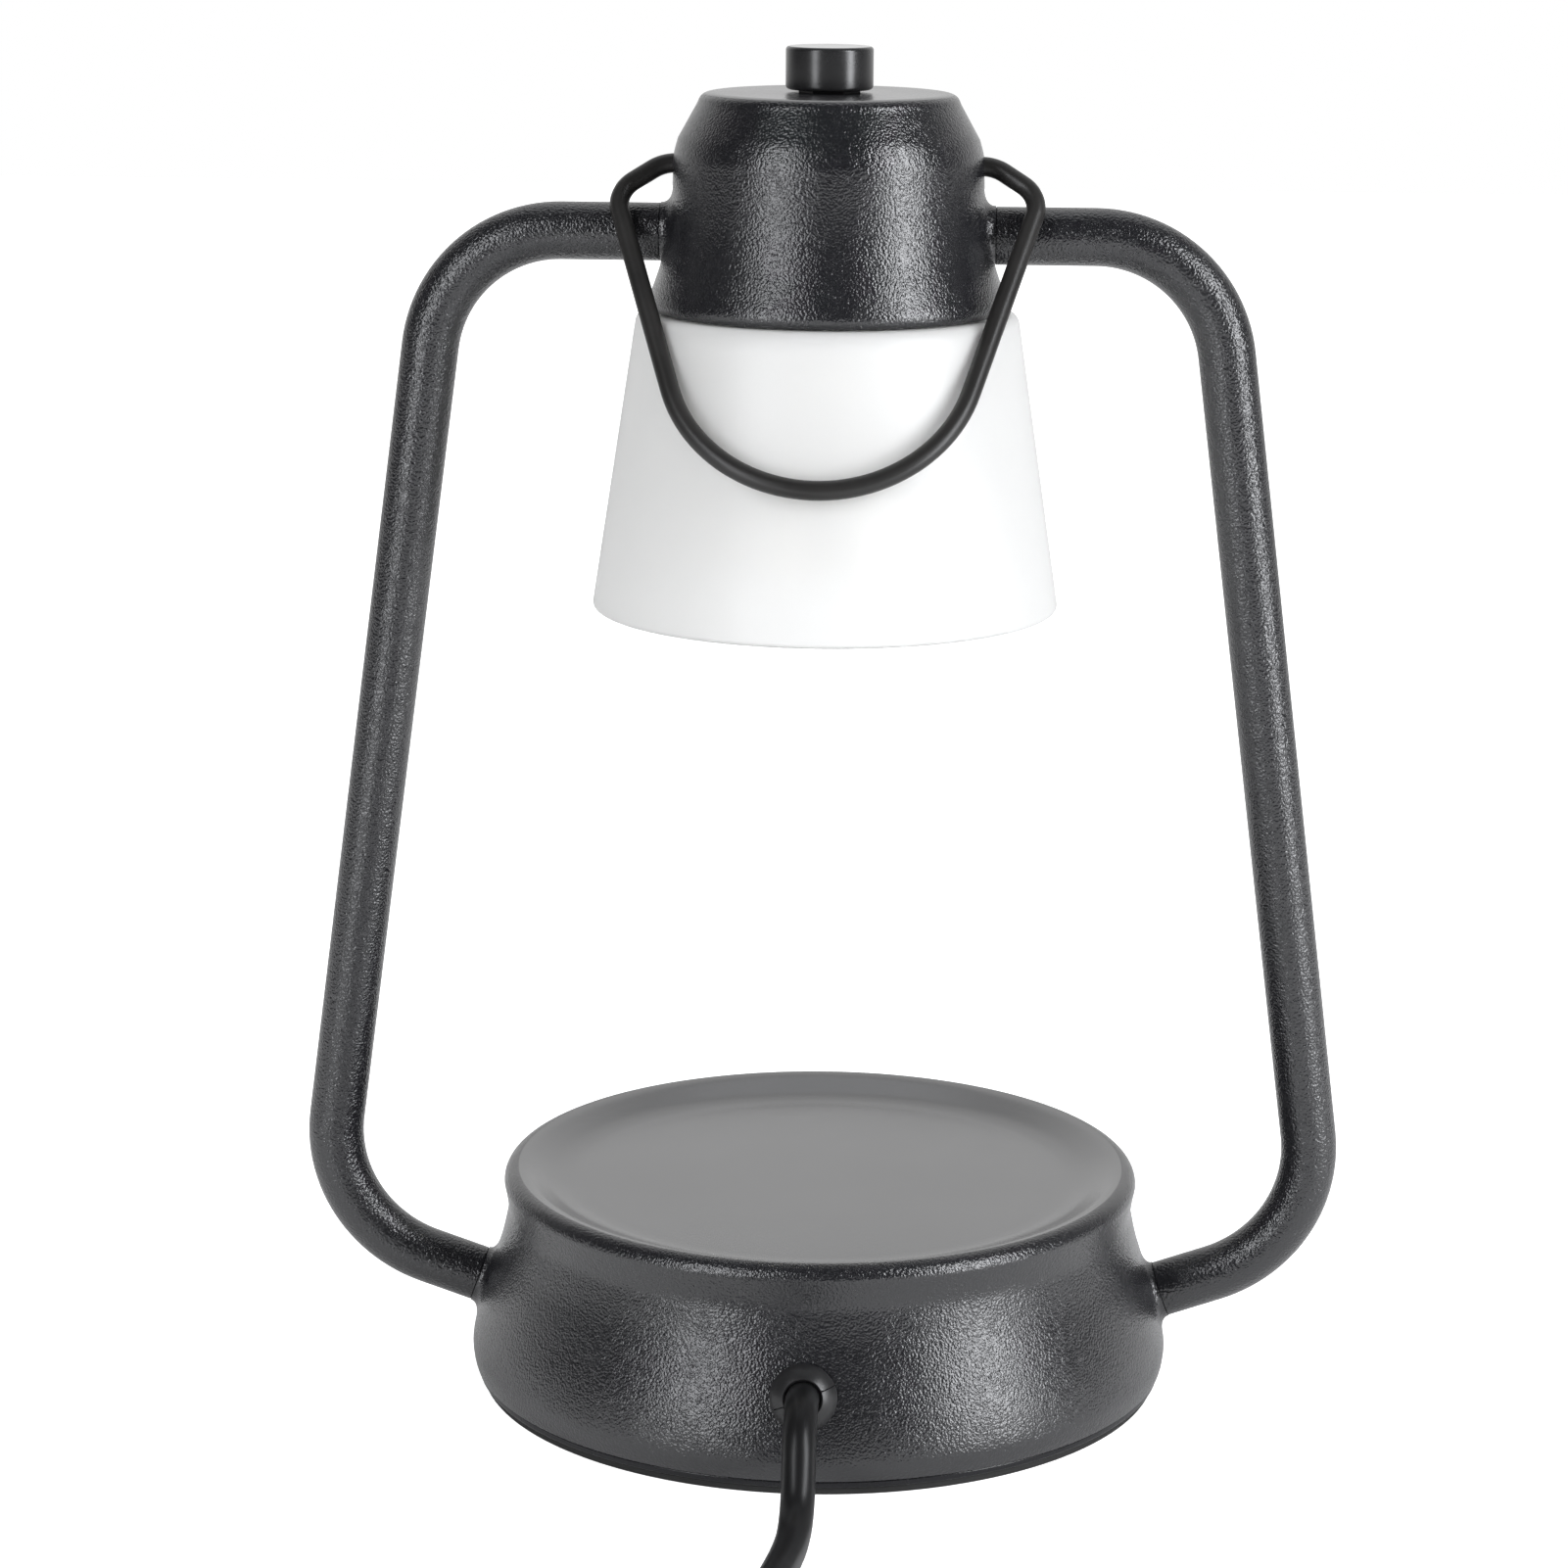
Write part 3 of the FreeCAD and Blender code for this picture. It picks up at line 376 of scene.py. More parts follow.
def fillet_collar(name: str, mouth: Vector, axis: Vector, mouth_r: float, fillet: float,
                  outline: Sequence[Pair]) -> Object:
    """A cast collar round a tube that runs smoothly into a turned wall.

    Args:
        name: Name of the piece.
        mouth: Middle of the collar's outer rim, in millimetres.
        axis: The tube's outward direction.
        mouth_r: Radius of the collar at its rim.
        fillet: How much wider it is on the wall.
        outline: The wall's radius and height pairs, rising.

    Returns:
        The collar, whose inner edge lies on the wall.
    """
    side = axis.cross(Vector((0, 0, 1))).normalized()
    up = side.cross(axis).normalized()

    def onto_wall(point: Vector) -> Vector:
        """Slides a point inwards along the axis until it lies on the wall."""
        low, high = 0.0, 20.0
        for _ in range(30):
            step = (low + high) / 2
            test = point - axis * step
            if math.hypot(test.x, test.y) > radius_at(outline, test.z):
                low = step
            else:
                high = step
        return point - axis * (high + 0.02)

    sides, rings = 64, 12
    start_ring(mouth, axis, mouth_r, sides)
    for _ in range(rings):
        push_ring(-axis * 0.1)
    bpy.ops.object.mode_set(mode="OBJECT")
    obj = bpy.context.view_layer.objects.active
    for k, vertex in enumerate(obj.data.vertices):
        ring, spoke = divmod(k, sides)
        angle = 2 * math.pi * spoke / sides
        spread = side * math.cos(angle) + up * math.sin(angle)
        rim = mouth + spread * mouth_r
        corner = onto_wall(mouth + axis * 2 + spread * mouth_r)
        foot = onto_wall(mouth + axis * 2 + spread * (mouth_r + fillet))
        t = ring / rings
        vertex.co = (rim * (1 - t) ** 2 + corner * (2 * t * (1 - t)) + foot * t ** 2) * MM
    for ring in (0, rings):
        cap_ring(obj, ring * sides, sides)
    return finish_mesh(name, smooth_angle=60)


# Materials


class Sheet:
    """The node tree of a material or group, with short ways to add and join nodes."""

    def __init__(self, tree: NodeTree) -> None:
        """Keeps the tree that nodes go into."""
        self.tree = tree

    def add(self, kind: str, props: Optional[dict] = None, **inputs: object) -> Node:
        """Adds a node.

        Args:
            kind: Blender's name for the node's type.
            props: Settings of the node itself.
            inputs: Values or output sockets for its inputs, with _ for a space.

        Returns:
            The node.
        """
        node = self.tree.nodes.new(kind)
        for key, value in (props or {}).items():
            setattr(node, key, value)
        for key, value in inputs.items():
            socket = node.inputs[key.replace("_", " ")]
            if isinstance(value, Socket):
                self.tree.links.new(value, socket)
            else:
                socket.default_value = value
        return node

    def maths(self, operation: str, *sources: Socket, kind: str = "ShaderNodeMath",
              **inputs: float) -> Socket:
        """Adds a math node that works on output sockets.

        Args:
            operation: What it does.
            sources: Sockets for its first inputs.
            kind: Blender's name for the node's type.
            inputs: Values for its other inputs.

        Returns:
            The socket of its result.
        """
        node = self.add(kind, {"operation": operation}, **inputs)
        for source, target in zip(sources, node.inputs):
            self.tree.links.new(source, target)
        return node.outputs[0]

    def relief(self, height: Socket, depth: float) -> Socket:
        """Turns a height into a bumped normal, with its depth in millimetres."""
        bump = self.add("ShaderNodeBump", Height=height, Strength=1.0, Distance=depth * MM)
        return bump.outputs["Normal"]

    def blend(self, low: float, high: float, amount: Socket) -> Socket:
        """Maps a value from 0 to 1 onto a range and gives the output socket."""
        node = self.add("ShaderNodeMapRange", Value=amount, To_Min=low, To_Max=high)
        return node.outputs["Result"]

    def mix_colour(self, amount: Socket, low: Colour,
                   high: Colour) -> Socket:
        """Mixes two colours by a value from 0 to 1 and gives the output socket."""
        node = self.add("ShaderNodeMix", {"data_type": "RGBA"}, Factor=amount)
        node.inputs[6].default_value = (*low, 1)
        node.inputs[7].default_value = (*high, 1)
        return node.outputs[2]


def new_group(name: str, inputs: dict[str, float],
              outputs: Sequence[str]) -> tuple[NodeTree, Sheet]:
    """Starts a shader node group that works on a position and puts out values.

    Args:
        name: Name of the group.
        inputs: Names and default values of its number inputs.
        outputs: Names of its outputs.

    Returns:
        The group and its sheet.
    """
    tree = bpy.data.node_groups.new(name, "ShaderNodeTree")
    tree.interface.new_socket(name="Position", in_out="INPUT", socket_type="NodeSocketVector")
    for key, value in inputs.items():
        socket = tree.interface.new_socket(name=key, in_out="INPUT", socket_type="NodeSocketFloat")
        socket.default_value = value
    for key in outputs:
        tree.interface.new_socket(name=key, in_out="OUTPUT", socket_type="NodeSocketFloat")
    return tree, Sheet(tree)


def build_peel_group() -> NodeTree:
    """Orange-peel relief of a baked powder coat: soft pebbles with finer grain on them."""
    drift_scale, drift_reach, grain_scale = 260.0, 0.0011, 2600.0
    tree, sheet = new_group("orange peel", {"Scale": 900.0, "Grain": 0.3}, ["Height", "Fleck"])
    given = sheet.add("NodeGroupInput")
    position, scale = given.outputs["Position"], given.outputs["Scale"]
    drift = sheet.add("ShaderNodeTexNoise", Vector=position, Scale=drift_scale, Detail=1.0)
    push = sheet.maths("SCALE", drift.outputs["Color"], kind=VECTOR_MATH, Scale=drift_reach)
    moved = sheet.maths("ADD", position, push, kind=VECTOR_MATH)
    pebbles = sheet.add("ShaderNodeTexVoronoi", {"feature": "SMOOTH_F1"}, Vector=moved,
                        Scale=scale, Smoothness=0.7)
    grain = sheet.add("ShaderNodeTexNoise", Vector=position, Scale=grain_scale, Detail=2.0,
                      Roughness=0.6)
    swell = sheet.add("ShaderNodeTexNoise", Vector=moved, Scale=scale, Detail=1.5, Roughness=0.5)
    low = sheet.maths("MULTIPLY", grain.outputs["Fac"], given.outputs["Grain"])
    rise = sheet.maths("ADD", swell.outputs["Fac"], low)
    total = sheet.maths("SUBTRACT", rise, pebbles.outputs["Distance"])
    fleck = sheet.add("ShaderNodeMapRange", Value=grain.outputs["Fac"], From_Min=0.35, From_Max=0.7)
    sheet.add("NodeGroupOutput", Height=total, Fleck=fleck.outputs["Result"])
    return tree


def build_cloud_group() -> NodeTree:
    """Slow, uneven patches and fine grain, for dust, handling marks and moulded grain."""
    tree, sheet = new_group("patches and grain", {"Patch Scale": 40.0, "Grain Scale": 3000.0},
                            ["Patches", "Grain"])
    given = sheet.add("NodeGroupInput")
    patches = sheet.add("ShaderNodeTexNoise", Vector=given.outputs["Position"],
                        Scale=given.outputs["Patch Scale"], Detail=4.0, Roughness=0.6)
    spread = sheet.add("ShaderNodeMapRange", Value=patches.outputs["Fac"], From_Min=0.3,
                       From_Max=0.7)
    grain = sheet.add("ShaderNodeTexNoise", Vector=given.outputs["Position"],
                      Scale=given.outputs["Grain Scale"], Detail=3.0, Roughness=0.55)
    sheet.add("NodeGroupOutput", Patches=spread.outputs["Result"], Grain=grain.outputs["Fac"])
    return tree


PEEL = build_peel_group()
CLOUD = build_cloud_group()


def new_material(name: str) -> tuple[Material, Sheet, Socket]:
    """Starts an empty material.

    Args:
        name: Name of the material.

    Returns:
        The material, its sheet and the socket that gives the position on the object.
    """
    material = bpy.data.materials.new(name)
    material.use_nodes = True
    material.node_tree.nodes.clear()
    sheet = Sheet(material.node_tree)
    position = sheet.add("ShaderNodeTexCoord").outputs["Object"]
    return material, sheet, position


def group_node(sheet: Sheet, tree: NodeTree, position: Socket,
               **values: float) -> Node:
    """Places a group in a material with its own values."""
    node = sheet.add("ShaderNodeGroup", {"node_tree": tree}, Position=position)
    for key, value in values.items():
        node.inputs[key.replace("_", " ")].default_value = value
    return node


def finish_material(sheet: Sheet, shader: Node) -> None:
    """Joins a shader to the material's output."""
    sheet.add("ShaderNodeOutputMaterial", Surface=shader.outputs[0])


@dataclass(frozen=True)
class PowderCoat:
    """Baked charcoal powder coat with a leathery relief."""

    name: str = "powder coat"
    dark: Colour = (0.004, 0.004, 0.0052)
    light: Colour = (0.009, 0.0092, 0.0112)
    smooth: float = 0.22
    rough: float = 0.29
    scale: float = 2000.0
    relief: float = 0.1
    grain: float = 0.3
    specular: float = 0.8
    ior: float = 1.5
    patch_scale: float = 28.0
    patch_grain: float = 4200.0

    def material(self) -> Material:
        """Builds the material.

        Returns:
            The finished material.
        """
        material, sheet, position = new_material(self.name)
        peel = group_node(sheet, PEEL, position, Scale=self.scale, Grain=self.grain)
        cloud = group_node(sheet, CLOUD, position, Patch_Scale=self.patch_scale,
                           Grain_Scale=self.patch_grain)
        shader = sheet.add(
            "ShaderNodeBsdfPrincipled",
            Base_Color=sheet.mix_colour(peel.outputs["Fleck"], self.dark, self.light),
            Roughness=sheet.blend(self.smooth, self.rough, cloud.outputs["Patches"]),
            Specular_IOR_Level=self.specular, IOR=self.ior,
            Normal=sheet.relief(peel.outputs["Height"], self.relief))
        finish_material(sheet, shader)
        return material


@dataclass(frozen=True)
class Surface:
    """A finish whose colour and sheen drift in patches, over fine raised grain."""

    name: str
    colour: Colour
    patch: Colour
    smooth: float = 0.35
    rough: float = 0.5
    patch_scale: float = 60.0
    grain_scale: float = 3600.0
    relief: float = 0.012

    def own_inputs(self) -> dict[str, float]:
        """Shader inputs that only this kind of finish sets."""
        return {}

    def material(self) -> Material:
        """Builds the material.

        Returns:
            The finished material.
        """
        material, sheet, position = new_material(self.name)
        cloud = group_node(sheet, CLOUD, position, Patch_Scale=self.patch_scale,
                           Grain_Scale=self.grain_scale)
        shader = sheet.add(
            "ShaderNodeBsdfPrincipled",
            Base_Color=sheet.mix_colour(cloud.outputs["Patches"], self.colour, self.patch),
            Roughness=sheet.blend(self.smooth, self.rough, cloud.outputs["Patches"]),
            Normal=sheet.relief(cloud.outputs["Grain"], self.relief), **self.own_inputs())
        finish_material(sheet, shader)
        return material


@dataclass(frozen=True)
class Moulded(Surface):
    """Moulded or dipped plastic and rubber, with fine grain and a little dust."""

    coat: float = 0.0
    specular: float = 0.5

    def own_inputs(self) -> dict[str, float]:
        """The clear coat and the strength of the sheen."""
        return {"Coat_Weight": self.coat, "Specular_IOR_Level": self.specular}


@dataclass(frozen=True)
class BareMetal(Surface):
    """Bare, plated or cast metal with a faint uneven sheen."""

    smooth: float = 0.22
    rough: float = 0.4
    patch_scale: float = 90.0
    grain_scale: float = 2200.0
    relief: float = 0.01

    def own_inputs(self) -> dict[str, float]:
        """Metal all through."""
        return {"Metallic": 1.0}


@dataclass(frozen=True)
class Glass(Surface):
    """Glass: clear, or etched white so that it scatters light."""

    patch_scale: float = 24.0
    grain_scale: float = 5200.0
    relief: float = 0.004
    transmission: float = 1.0

    def own_inputs(self) -> dict[str, float]:
        """How much light goes through."""
        return {"Transmission_Weight": self.transmission, "IOR": 1.5}


class Finishes:
    """Every finish on the lamp, built once."""

    def __init__(self) -> None:
        """Builds the materials."""
        self.coat = PowderCoat().material()
        self.coat_tube = PowderCoat("powder coat, tubes", scale=1850.0, relief=0.13).material()
        self.coat_dish = PowderCoat("powder coat, dish", smooth=0.22, rough=0.27, relief=0.02,
                                    scale=1900.0, specular=1.0, ior=1.85).material()
        self.coat_thin = PowderCoat("powder coat, plate", relief=0.03, specular=0.3).material()
        self.wire = Moulded("satin wire coat", (0.01, 0.0095, 0.009), (0.014, 0.0132, 0.0126),
                            smooth=0.34, rough=0.42, relief=0.01, specular=0.4).material()
        self.knob_face = Moulded("knob plastic, face", (0.01, 0.01, 0.0105), (0.014, 0.014, 0.0145),
                                 smooth=0.1, rough=0.14, relief=0.002).material()
        self.knob = Moulded("knob plastic", (0.01, 0.01, 0.0105), (0.014, 0.014, 0.0145),
                            smooth=0.24, rough=0.3, relief=0.006).material()
        self.nylon = Moulded("black nylon", (0.009, 0.009, 0.0096), (0.013, 0.013, 0.0136),
                             smooth=0.32, rough=0.4, relief=0.01).material()
        self.jacket = Moulded("cord jacket", (0.005, 0.005, 0.0054), (0.0065, 0.0065, 0.007),
                              smooth=0.33, rough=0.38, relief=0.004, specular=0.27).material()
        self.foam = Moulded("foam rubber", (0.008, 0.008, 0.008), (0.014, 0.014, 0.0135),
                            smooth=0.7, rough=0.85, grain_scale=1500, relief=0.06).material()
        self.white = Moulded("white plastic", (0.78, 0.78, 0.76), (0.7, 0.7, 0.68),
                             smooth=0.35, rough=0.45).material()
        self.ceramic = Moulded("glazed ceramic", (0.86, 0.85, 0.81), (0.8, 0.79, 0.75),
                               smooth=0.15, rough=0.25, coat=0.5).material()
        self.silicone = Moulded("silicone", (0.75, 0.75, 0.73), (0.66, 0.66, 0.64),
                                smooth=0.45, rough=0.6).material()
        self.black_steel = BareMetal("blackened steel", (0.03, 0.03, 0.032), (0.02, 0.02, 0.021),
                                     smooth=0.4, rough=0.5).material()
        self.zinc = BareMetal("zinc plate", (0.62, 0.63, 0.64), (0.5, 0.5, 0.5)).material()
        self.brass = BareMetal("turned brass", (0.78, 0.6, 0.3), (0.66, 0.48, 0.24)).material()
        self.nickel = BareMetal("nickel", (0.76, 0.75, 0.73), (0.66, 0.65, 0.62), smooth=0.14,
                                rough=0.24).material()
        self.iron = BareMetal("raw casting", (0.2, 0.2, 0.2), (0.13, 0.12, 0.115),
                              smooth=0.55, rough=0.75, grain_scale=900, relief=0.15).material()
        self.mirror = BareMetal("reflector film", (0.9, 0.87, 0.8), (0.86, 0.8, 0.68), smooth=0.05,
                                rough=0.12, relief=0.004).material()
        self.frosted = Glass("frosted glass", (0.83, 0.83, 0.82), (0.81, 0.81, 0.8), smooth=0.42,
                             rough=0.5, transmission=0.5).material()
        self.clear = Glass("clear glass", (0.96, 0.97, 0.96), (0.93, 0.95, 0.94), smooth=0.02,
                           rough=0.06, transmission=1.0).material()


def dress(obj: Object, material: Material) -> Object:
    """Gives a piece one material all over."""
    obj.data.materials.clear()
    obj.data.materials.append(material)
    return obj


def dress_top(obj: Object, material: Material, above: float, upright: float,
              within: float = math.inf) -> None:
    """Gives a second material to faces that look up, near the top of a piece.

    Args:
        obj: The piece, dressed in its first material.
        material: The second material.
        above: Height that the faces lie above, in millimetres.
        upright: How much of a face's direction has to point up, from 0 to 1.
        within: Radius that the faces lie within, in millimetres.
    """
    obj.data.materials.append(material)
    for polygon in obj.data.polygons:
        centre = polygon.center
        inside = centre.z > above * MM and math.hypot(centre.x, centre.y) < within * MM
        if inside and polygon.normal.z > upright:
            polygon.material_index = 1


def dress_nodes(material: Material, *nodes: str) -> None:
    """Gives carried-over solids a new material, slot by slot."""
    for node in nodes:
        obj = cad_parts[node]
        if not obj.material_slots:
            obj.data.materials.append(material)
        for slot in obj.material_slots:
            slot.material = material
        log.info("%s keeps its solid, in %s", node, material.name)


def collar_pair(word: str, mouth: Vector, axis: Vector, mouth_r: float, fillet: float,
                outline: Sequence[Pair], material: Material) -> list[Object]:
    """The collar on the right and its mirror image on the left, dressed.

    Args:
        word: Start of the two names.
        mouth: Middle of the right collar's outer rim, in millimetres.
        axis: The right tube's outward direction.
        mouth_r: Radius of the collars at their rims.
        fillet: How much wider they are on the wall.
        outline: The wall's radius and height pairs, rising.
        material: Their finish.

    Returns:
        Both collars.
    """
    collars = []
    for side in (1, -1):
        collar = fillet_collar(f"{word}_collar_{side}", Vector((mouth.x * side, 0, mouth.z)),
                               Vector((axis.x * side, 0, axis.z)), mouth_r, fillet, outline)
        collars.append(dress(collar, material))
    return collars


def settle(obj: Object, body: Body, slot: str, *nodes: str) -> Object:
    """Lets a finished piece ride on its body and stand for its solids.

    Args:
        obj: The finished piece.
        body: The body it moves with.
        slot: Not used.
        nodes: Names of the solids that it replaces.

    Returns:
        The piece.
    """
    if nodes:
        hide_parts(*nodes)
    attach(obj, body.value)
    log.info("%s: %d faces, on %s", obj.name,
             len(obj.data.polygons) if obj.type == "MESH" else 0, body.value)
    return obj


# Sub-assemblies, in millimetres


@dataclass
class Base:
    """Round base: shell with a dished top, plate, foot pad and what lies inside."""

    finishes: Finishes
    radius: float = 76.0
    widest_z: float = 8.0
    neck_r: float = 68.05
    neck_z: float = 38.0
    crest_r: float = 65.8
    crest_z: float = 47.0
    crest_round: float = 3.1
    dish_z: float = 43.2
    shell_z: float = 3.3
    roof: float = 3.0
    plate_r: float = 74.9
    plate_z: float = 1.8
    plate_roll: float = 0.4
    pad_r: float = 74.0
    pad_round: float = 0.5
    arm_out: float = 2.0
    arm_z: float = 20.3
    arm_rise: float = math.radians(19.3)
    collar_r: float = 6.15
    fillet: float = 3.7
    collar_out: float = 1.9
    flank: list[Pair] = field(default_factory=lambda: [
        (75.0, 3.3), (75.3, 3.42), (75.5, 3.8), (75.85, 5.4), (76.0, 8.0), (75.3, 11.9),
        (73.9, 17.0), (70.93, 26.0), (69.53, 30.5), (68.5, 35.0), (68.05, 38.0), (68.35, 41.0),
        (68.9, 43.9)])

    def outer_line(self) -> list[Pair]:
        """The shell's flank, from its lower edge to the rounded rim."""
        return smooth_pairs(self.flank, 7)

    def wall_r(self, z: float) -> float:
        """Radius of a straight flank between the widest circle and the neck."""
        share = (z - self.widest_z) / (self.neck_z - self.widest_z)
        return self.radius + (self.neck_r - self.radius) * share

    def arm_line(self) -> Pair:
        """Where the arm's axis is set out from, and how much it rises for each step outwards."""
        return self.radius + self.arm_out, math.tan(self.arm_rise)

    def arm_foot(self) -> Vector:
        """Where the right arm's axis leaves the wall."""
        arm_x, rise = self.arm_line()
        drop = (self.radius - self.neck_r) / (self.neck_z - self.widest_z)
        x = (self.radius + drop * (self.widest_z - self.arm_z + rise * arm_x)) / (1 + drop * rise)
        return Vector((x, 0, self.arm_z + (x - arm_x) * rise))

    def arm_direction(self) -> Vector:
        """Outward direction of the right arm."""
        return Vector((math.cos(self.arm_rise), 0, math.sin(self.arm_rise)))

    def mouth(self) -> Vector:
        """Middle of the right collar's outer rim."""
        return self.arm_foot() + self.arm_direction() * self.collar_out

    def build_shell(self) -> Object:
        """Turns the shell and joins the two collars to it."""
        low_roof = self.dish_z - self.roof
        crest_r, rolled = self.crest_r, self.crest_round
        rim = arc_pairs((crest_r, self.crest_z - rolled), rolled, 0, 90, 12)
        dish = smooth_pairs([(crest_r, self.crest_z), (63.9, 46.55), (61.2, 45.35), (58.4, 44.1),
                             (55.6, 43.4), (53.2, self.dish_z), (50.0, self.dish_z)], 6)
        inner = [(0, self.dish_z), (0, low_roof), (62.0, low_roof), (65.0, low_roof - self.roof),
                 (self.radius - self.roof, self.widest_z), (72.4, self.shell_z)]
        outline = self.outer_line() + rim[1:] + dish[1:] + inner
        shell = dress(turned("base_shell_coated", outline, FINE_SIDES), self.finishes.coat)
        dress_top(shell, self.finishes.coat_dish, self.dish_z - 0.1, 0.0, crest_r - 0.1)
        collars = collar_pair("base", self.mouth(), self.arm_direction(), self.collar_r,
                              self.fillet, self.outer_line(), self.finishes.coat)
        return joined([shell, *collars])

    def build_plate(self) -> Object:
        """Turns the thin plate under the shell, with rolled edges."""
        outline = rolled_disc(self.plate_r, self.plate_z, self.shell_z, self.plate_roll)
        return dress(turned("bottom_plate_coated", outline, FINE_SIDES), self.finishes.coat_thin)

    def build_pad(self) -> Object:
        """Turns the foam pad that the lamp stands on."""
        outline = rolled_disc(self.pad_r, 0.0, self.plate_z, self.pad_round)
        return dress(turned("foot_pad_foam", outline, FINE_SIDES), self.finishes.foam)

    def build(self) -> None:
        """Builds and settles the base."""
        settle(self.build_shell(), Body.FRAME, "powder_coat", "base_shell")
        settle(self.build_plate(), Body.FRAME, "powder_coat", "bottom_plate")
        settle(self.build_pad(), Body.FRAME, "foam_rubber", "foot_pad")
        dress_nodes(self.finishes.iron, "ballast_disc")
        dress_nodes(self.finishes.zinc, "plate_screws", "base_lock_washers", "base_lock_nuts")
        dress_nodes(self.finishes.white, "terminal_block")
        dress_nodes(self.finishes.brass, "terminal_screws")
        dress_nodes(self.finishes.jacket, "inner_flex", "cord_inner")


@dataclass
class Head:
    """Turned head with cover plate, collars and dimmer."""

    finishes: Finishes
    rim_z: float = 233.4
    rim_r: float = 37.2
    height: float = 44.6
    arm_z: float = 249.0
    collar_r: float = 6.15
    fillet: float = 3.7
    collar_out: float = 1.6
    edge_share: Pair = (0.734, 0.946)
    wall: float = 2.6
    bush_r: float = 4.5
    cover_hole_r: float = 14.05
    cover_r: float = 33.6
    cover_in: float = 0.6
    cover_t: float = 1.6
    shaft_r: float = 3.0
    knob_hollow_r: float = 7.2
    knob_hollow_h: float = 3.4
    knob_low_round: float = 0.9
    knob_top_round: float = 0.8
    knob_r: float = 9.05
    knob_h: float = 8.8
    knob_gap: float = 0.6
    shares: list[Pair] = field(default_factory=lambda: [
        (0.984, 0.0), (1.0, 0.045), (0.968, 0.126), (0.942, 0.19), (0.915, 0.26), (0.887, 0.373),
        (0.871, 0.508), (0.866, 0.643), (0.862, 0.715), (0.839, 0.789)])

    def outer_line(self) -> list[Pair]:
        """The head's flank from its rim to its shoulder."""
        marks = [(self.rim_r * r, self.rim_z + self.height * z) for r, z in self.shares]
        return smooth_pairs(marks, 7)

    def mouth_x(self) -> float:
        """How far out the right collar's rim lies."""
        return radius_at(self.outer_line(), self.arm_z) + self.collar_out

    def build_shell(self) -> Object:
        """Turns the head and joins the two collars to it."""
        top = self.rim_z + self.height
        flank = self.outer_line()
        edge = (self.rim_r * self.edge_share[0], self.rim_z + self.height * self.edge_share[1])
        slope = [(flank[-1][0] + (edge[0] - flank[-1][0]) * k / 4,
                  flank[-1][1] + (edge[1] - flank[-1][1]) * k / 4) for k in range(1, 4)]
        crown = smooth_pairs([slope[-1], edge, (edge[0] - 0.65, top - 1.05),
                              (edge[0] - 1.6, top - 0.3), (edge[0] - 2.9, top),
                              (edge[0] - 4.5, top)], 5)
        inner = [(self.bush_r, top), (self.bush_r, top - self.wall), (22.0, top - self.wall),
                 (26.0, top - 6.0), (29.5, 262.0), (31.0, 247.5), (self.rim_r - self.wall, 237.0),
                 (self.rim_r - self.wall, self.rim_z)]
        outline = flank + slope + crown[1:] + inner
        shell = dress(turned("head_shell_coated", outline, MIDDLE_SIDES), self.finishes.coat)
        dress_top(shell, self.finishes.coat_dish, top - 0.4, 0.9)
        collars = collar_pair("head", Vector((self.mouth_x(), 0, self.arm_z)), Vector((1, 0, 0)),
                              self.collar_r, self.fillet, flank, self.finishes.coat)
        return joined([shell, *collars])

    def build_cover(self) -> Object:
        """Turns the plate that closes the head from below."""
        low, edge = self.rim_z + self.cover_in, self.cover_r
        high = low + self.cover_t
        outline = [(self.cover_hole_r, low), (edge - 0.7, low), (edge, low + 0.4), (edge, high),
                   (self.cover_hole_r, high)]
        return dress(turned("head_cover_coated", outline, SMALL_SIDES), self.finishes.coat_thin)

    def build_knob(self) -> Object:
        """Turns the dimmer knob, hollow underneath, with rounded edges."""
        low = self.rim_z + self.height + self.knob_gap
        high = low + self.knob_h
        roof, shaft_end = low + self.knob_hollow_h, high - 1.8
        r, hollow = self.knob_r, self.knob_hollow_r
        under, over = self.knob_low_round, self.knob_top_round
        outline = [(self.shaft_r, shaft_end), (self.shaft_r, roof), (hollow, roof),
                   (hollow, low + 0.3), (hollow + 0.3, low),
                   *arc_pairs((r - under, low + under), under, -90, 0, 6),
                   *arc_pairs((r - over, high - over), over, 0, 90, 10), (r - 3.0, high),
                   (0, high - 0.02), (0, shaft_end)]
        knob = dress(turned("dimmer_knob_satin", outline, SMALL_SIDES), self.finishes.knob)
        dress_top(knob, self.finishes.knob_face, high - 0.3, 0.95)
        return knob

    def build(self) -> None:
        """Builds and settles the head."""
        settle(self.build_shell(), Body.FRAME, "powder_coat", "head_shell")
        settle(self.build_cover(), Body.FRAME, "powder_coat", "head_cover")
        settle(self.build_knob(), Body.KNOB, "knob_plastic", "dimmer_knob")
        dress_nodes(self.finishes.nylon, "dimmer_module")
        dress_nodes(self.finishes.black_steel, "dimmer_nut")
        dress_nodes(self.finishes.white, "dimmer_leads")
        dress_nodes(self.finishes.brass, "dimmer_shaft")
        dress_nodes(self.finishes.zinc, "cover_screws", "head_lock_washers", "head_lock_nuts")


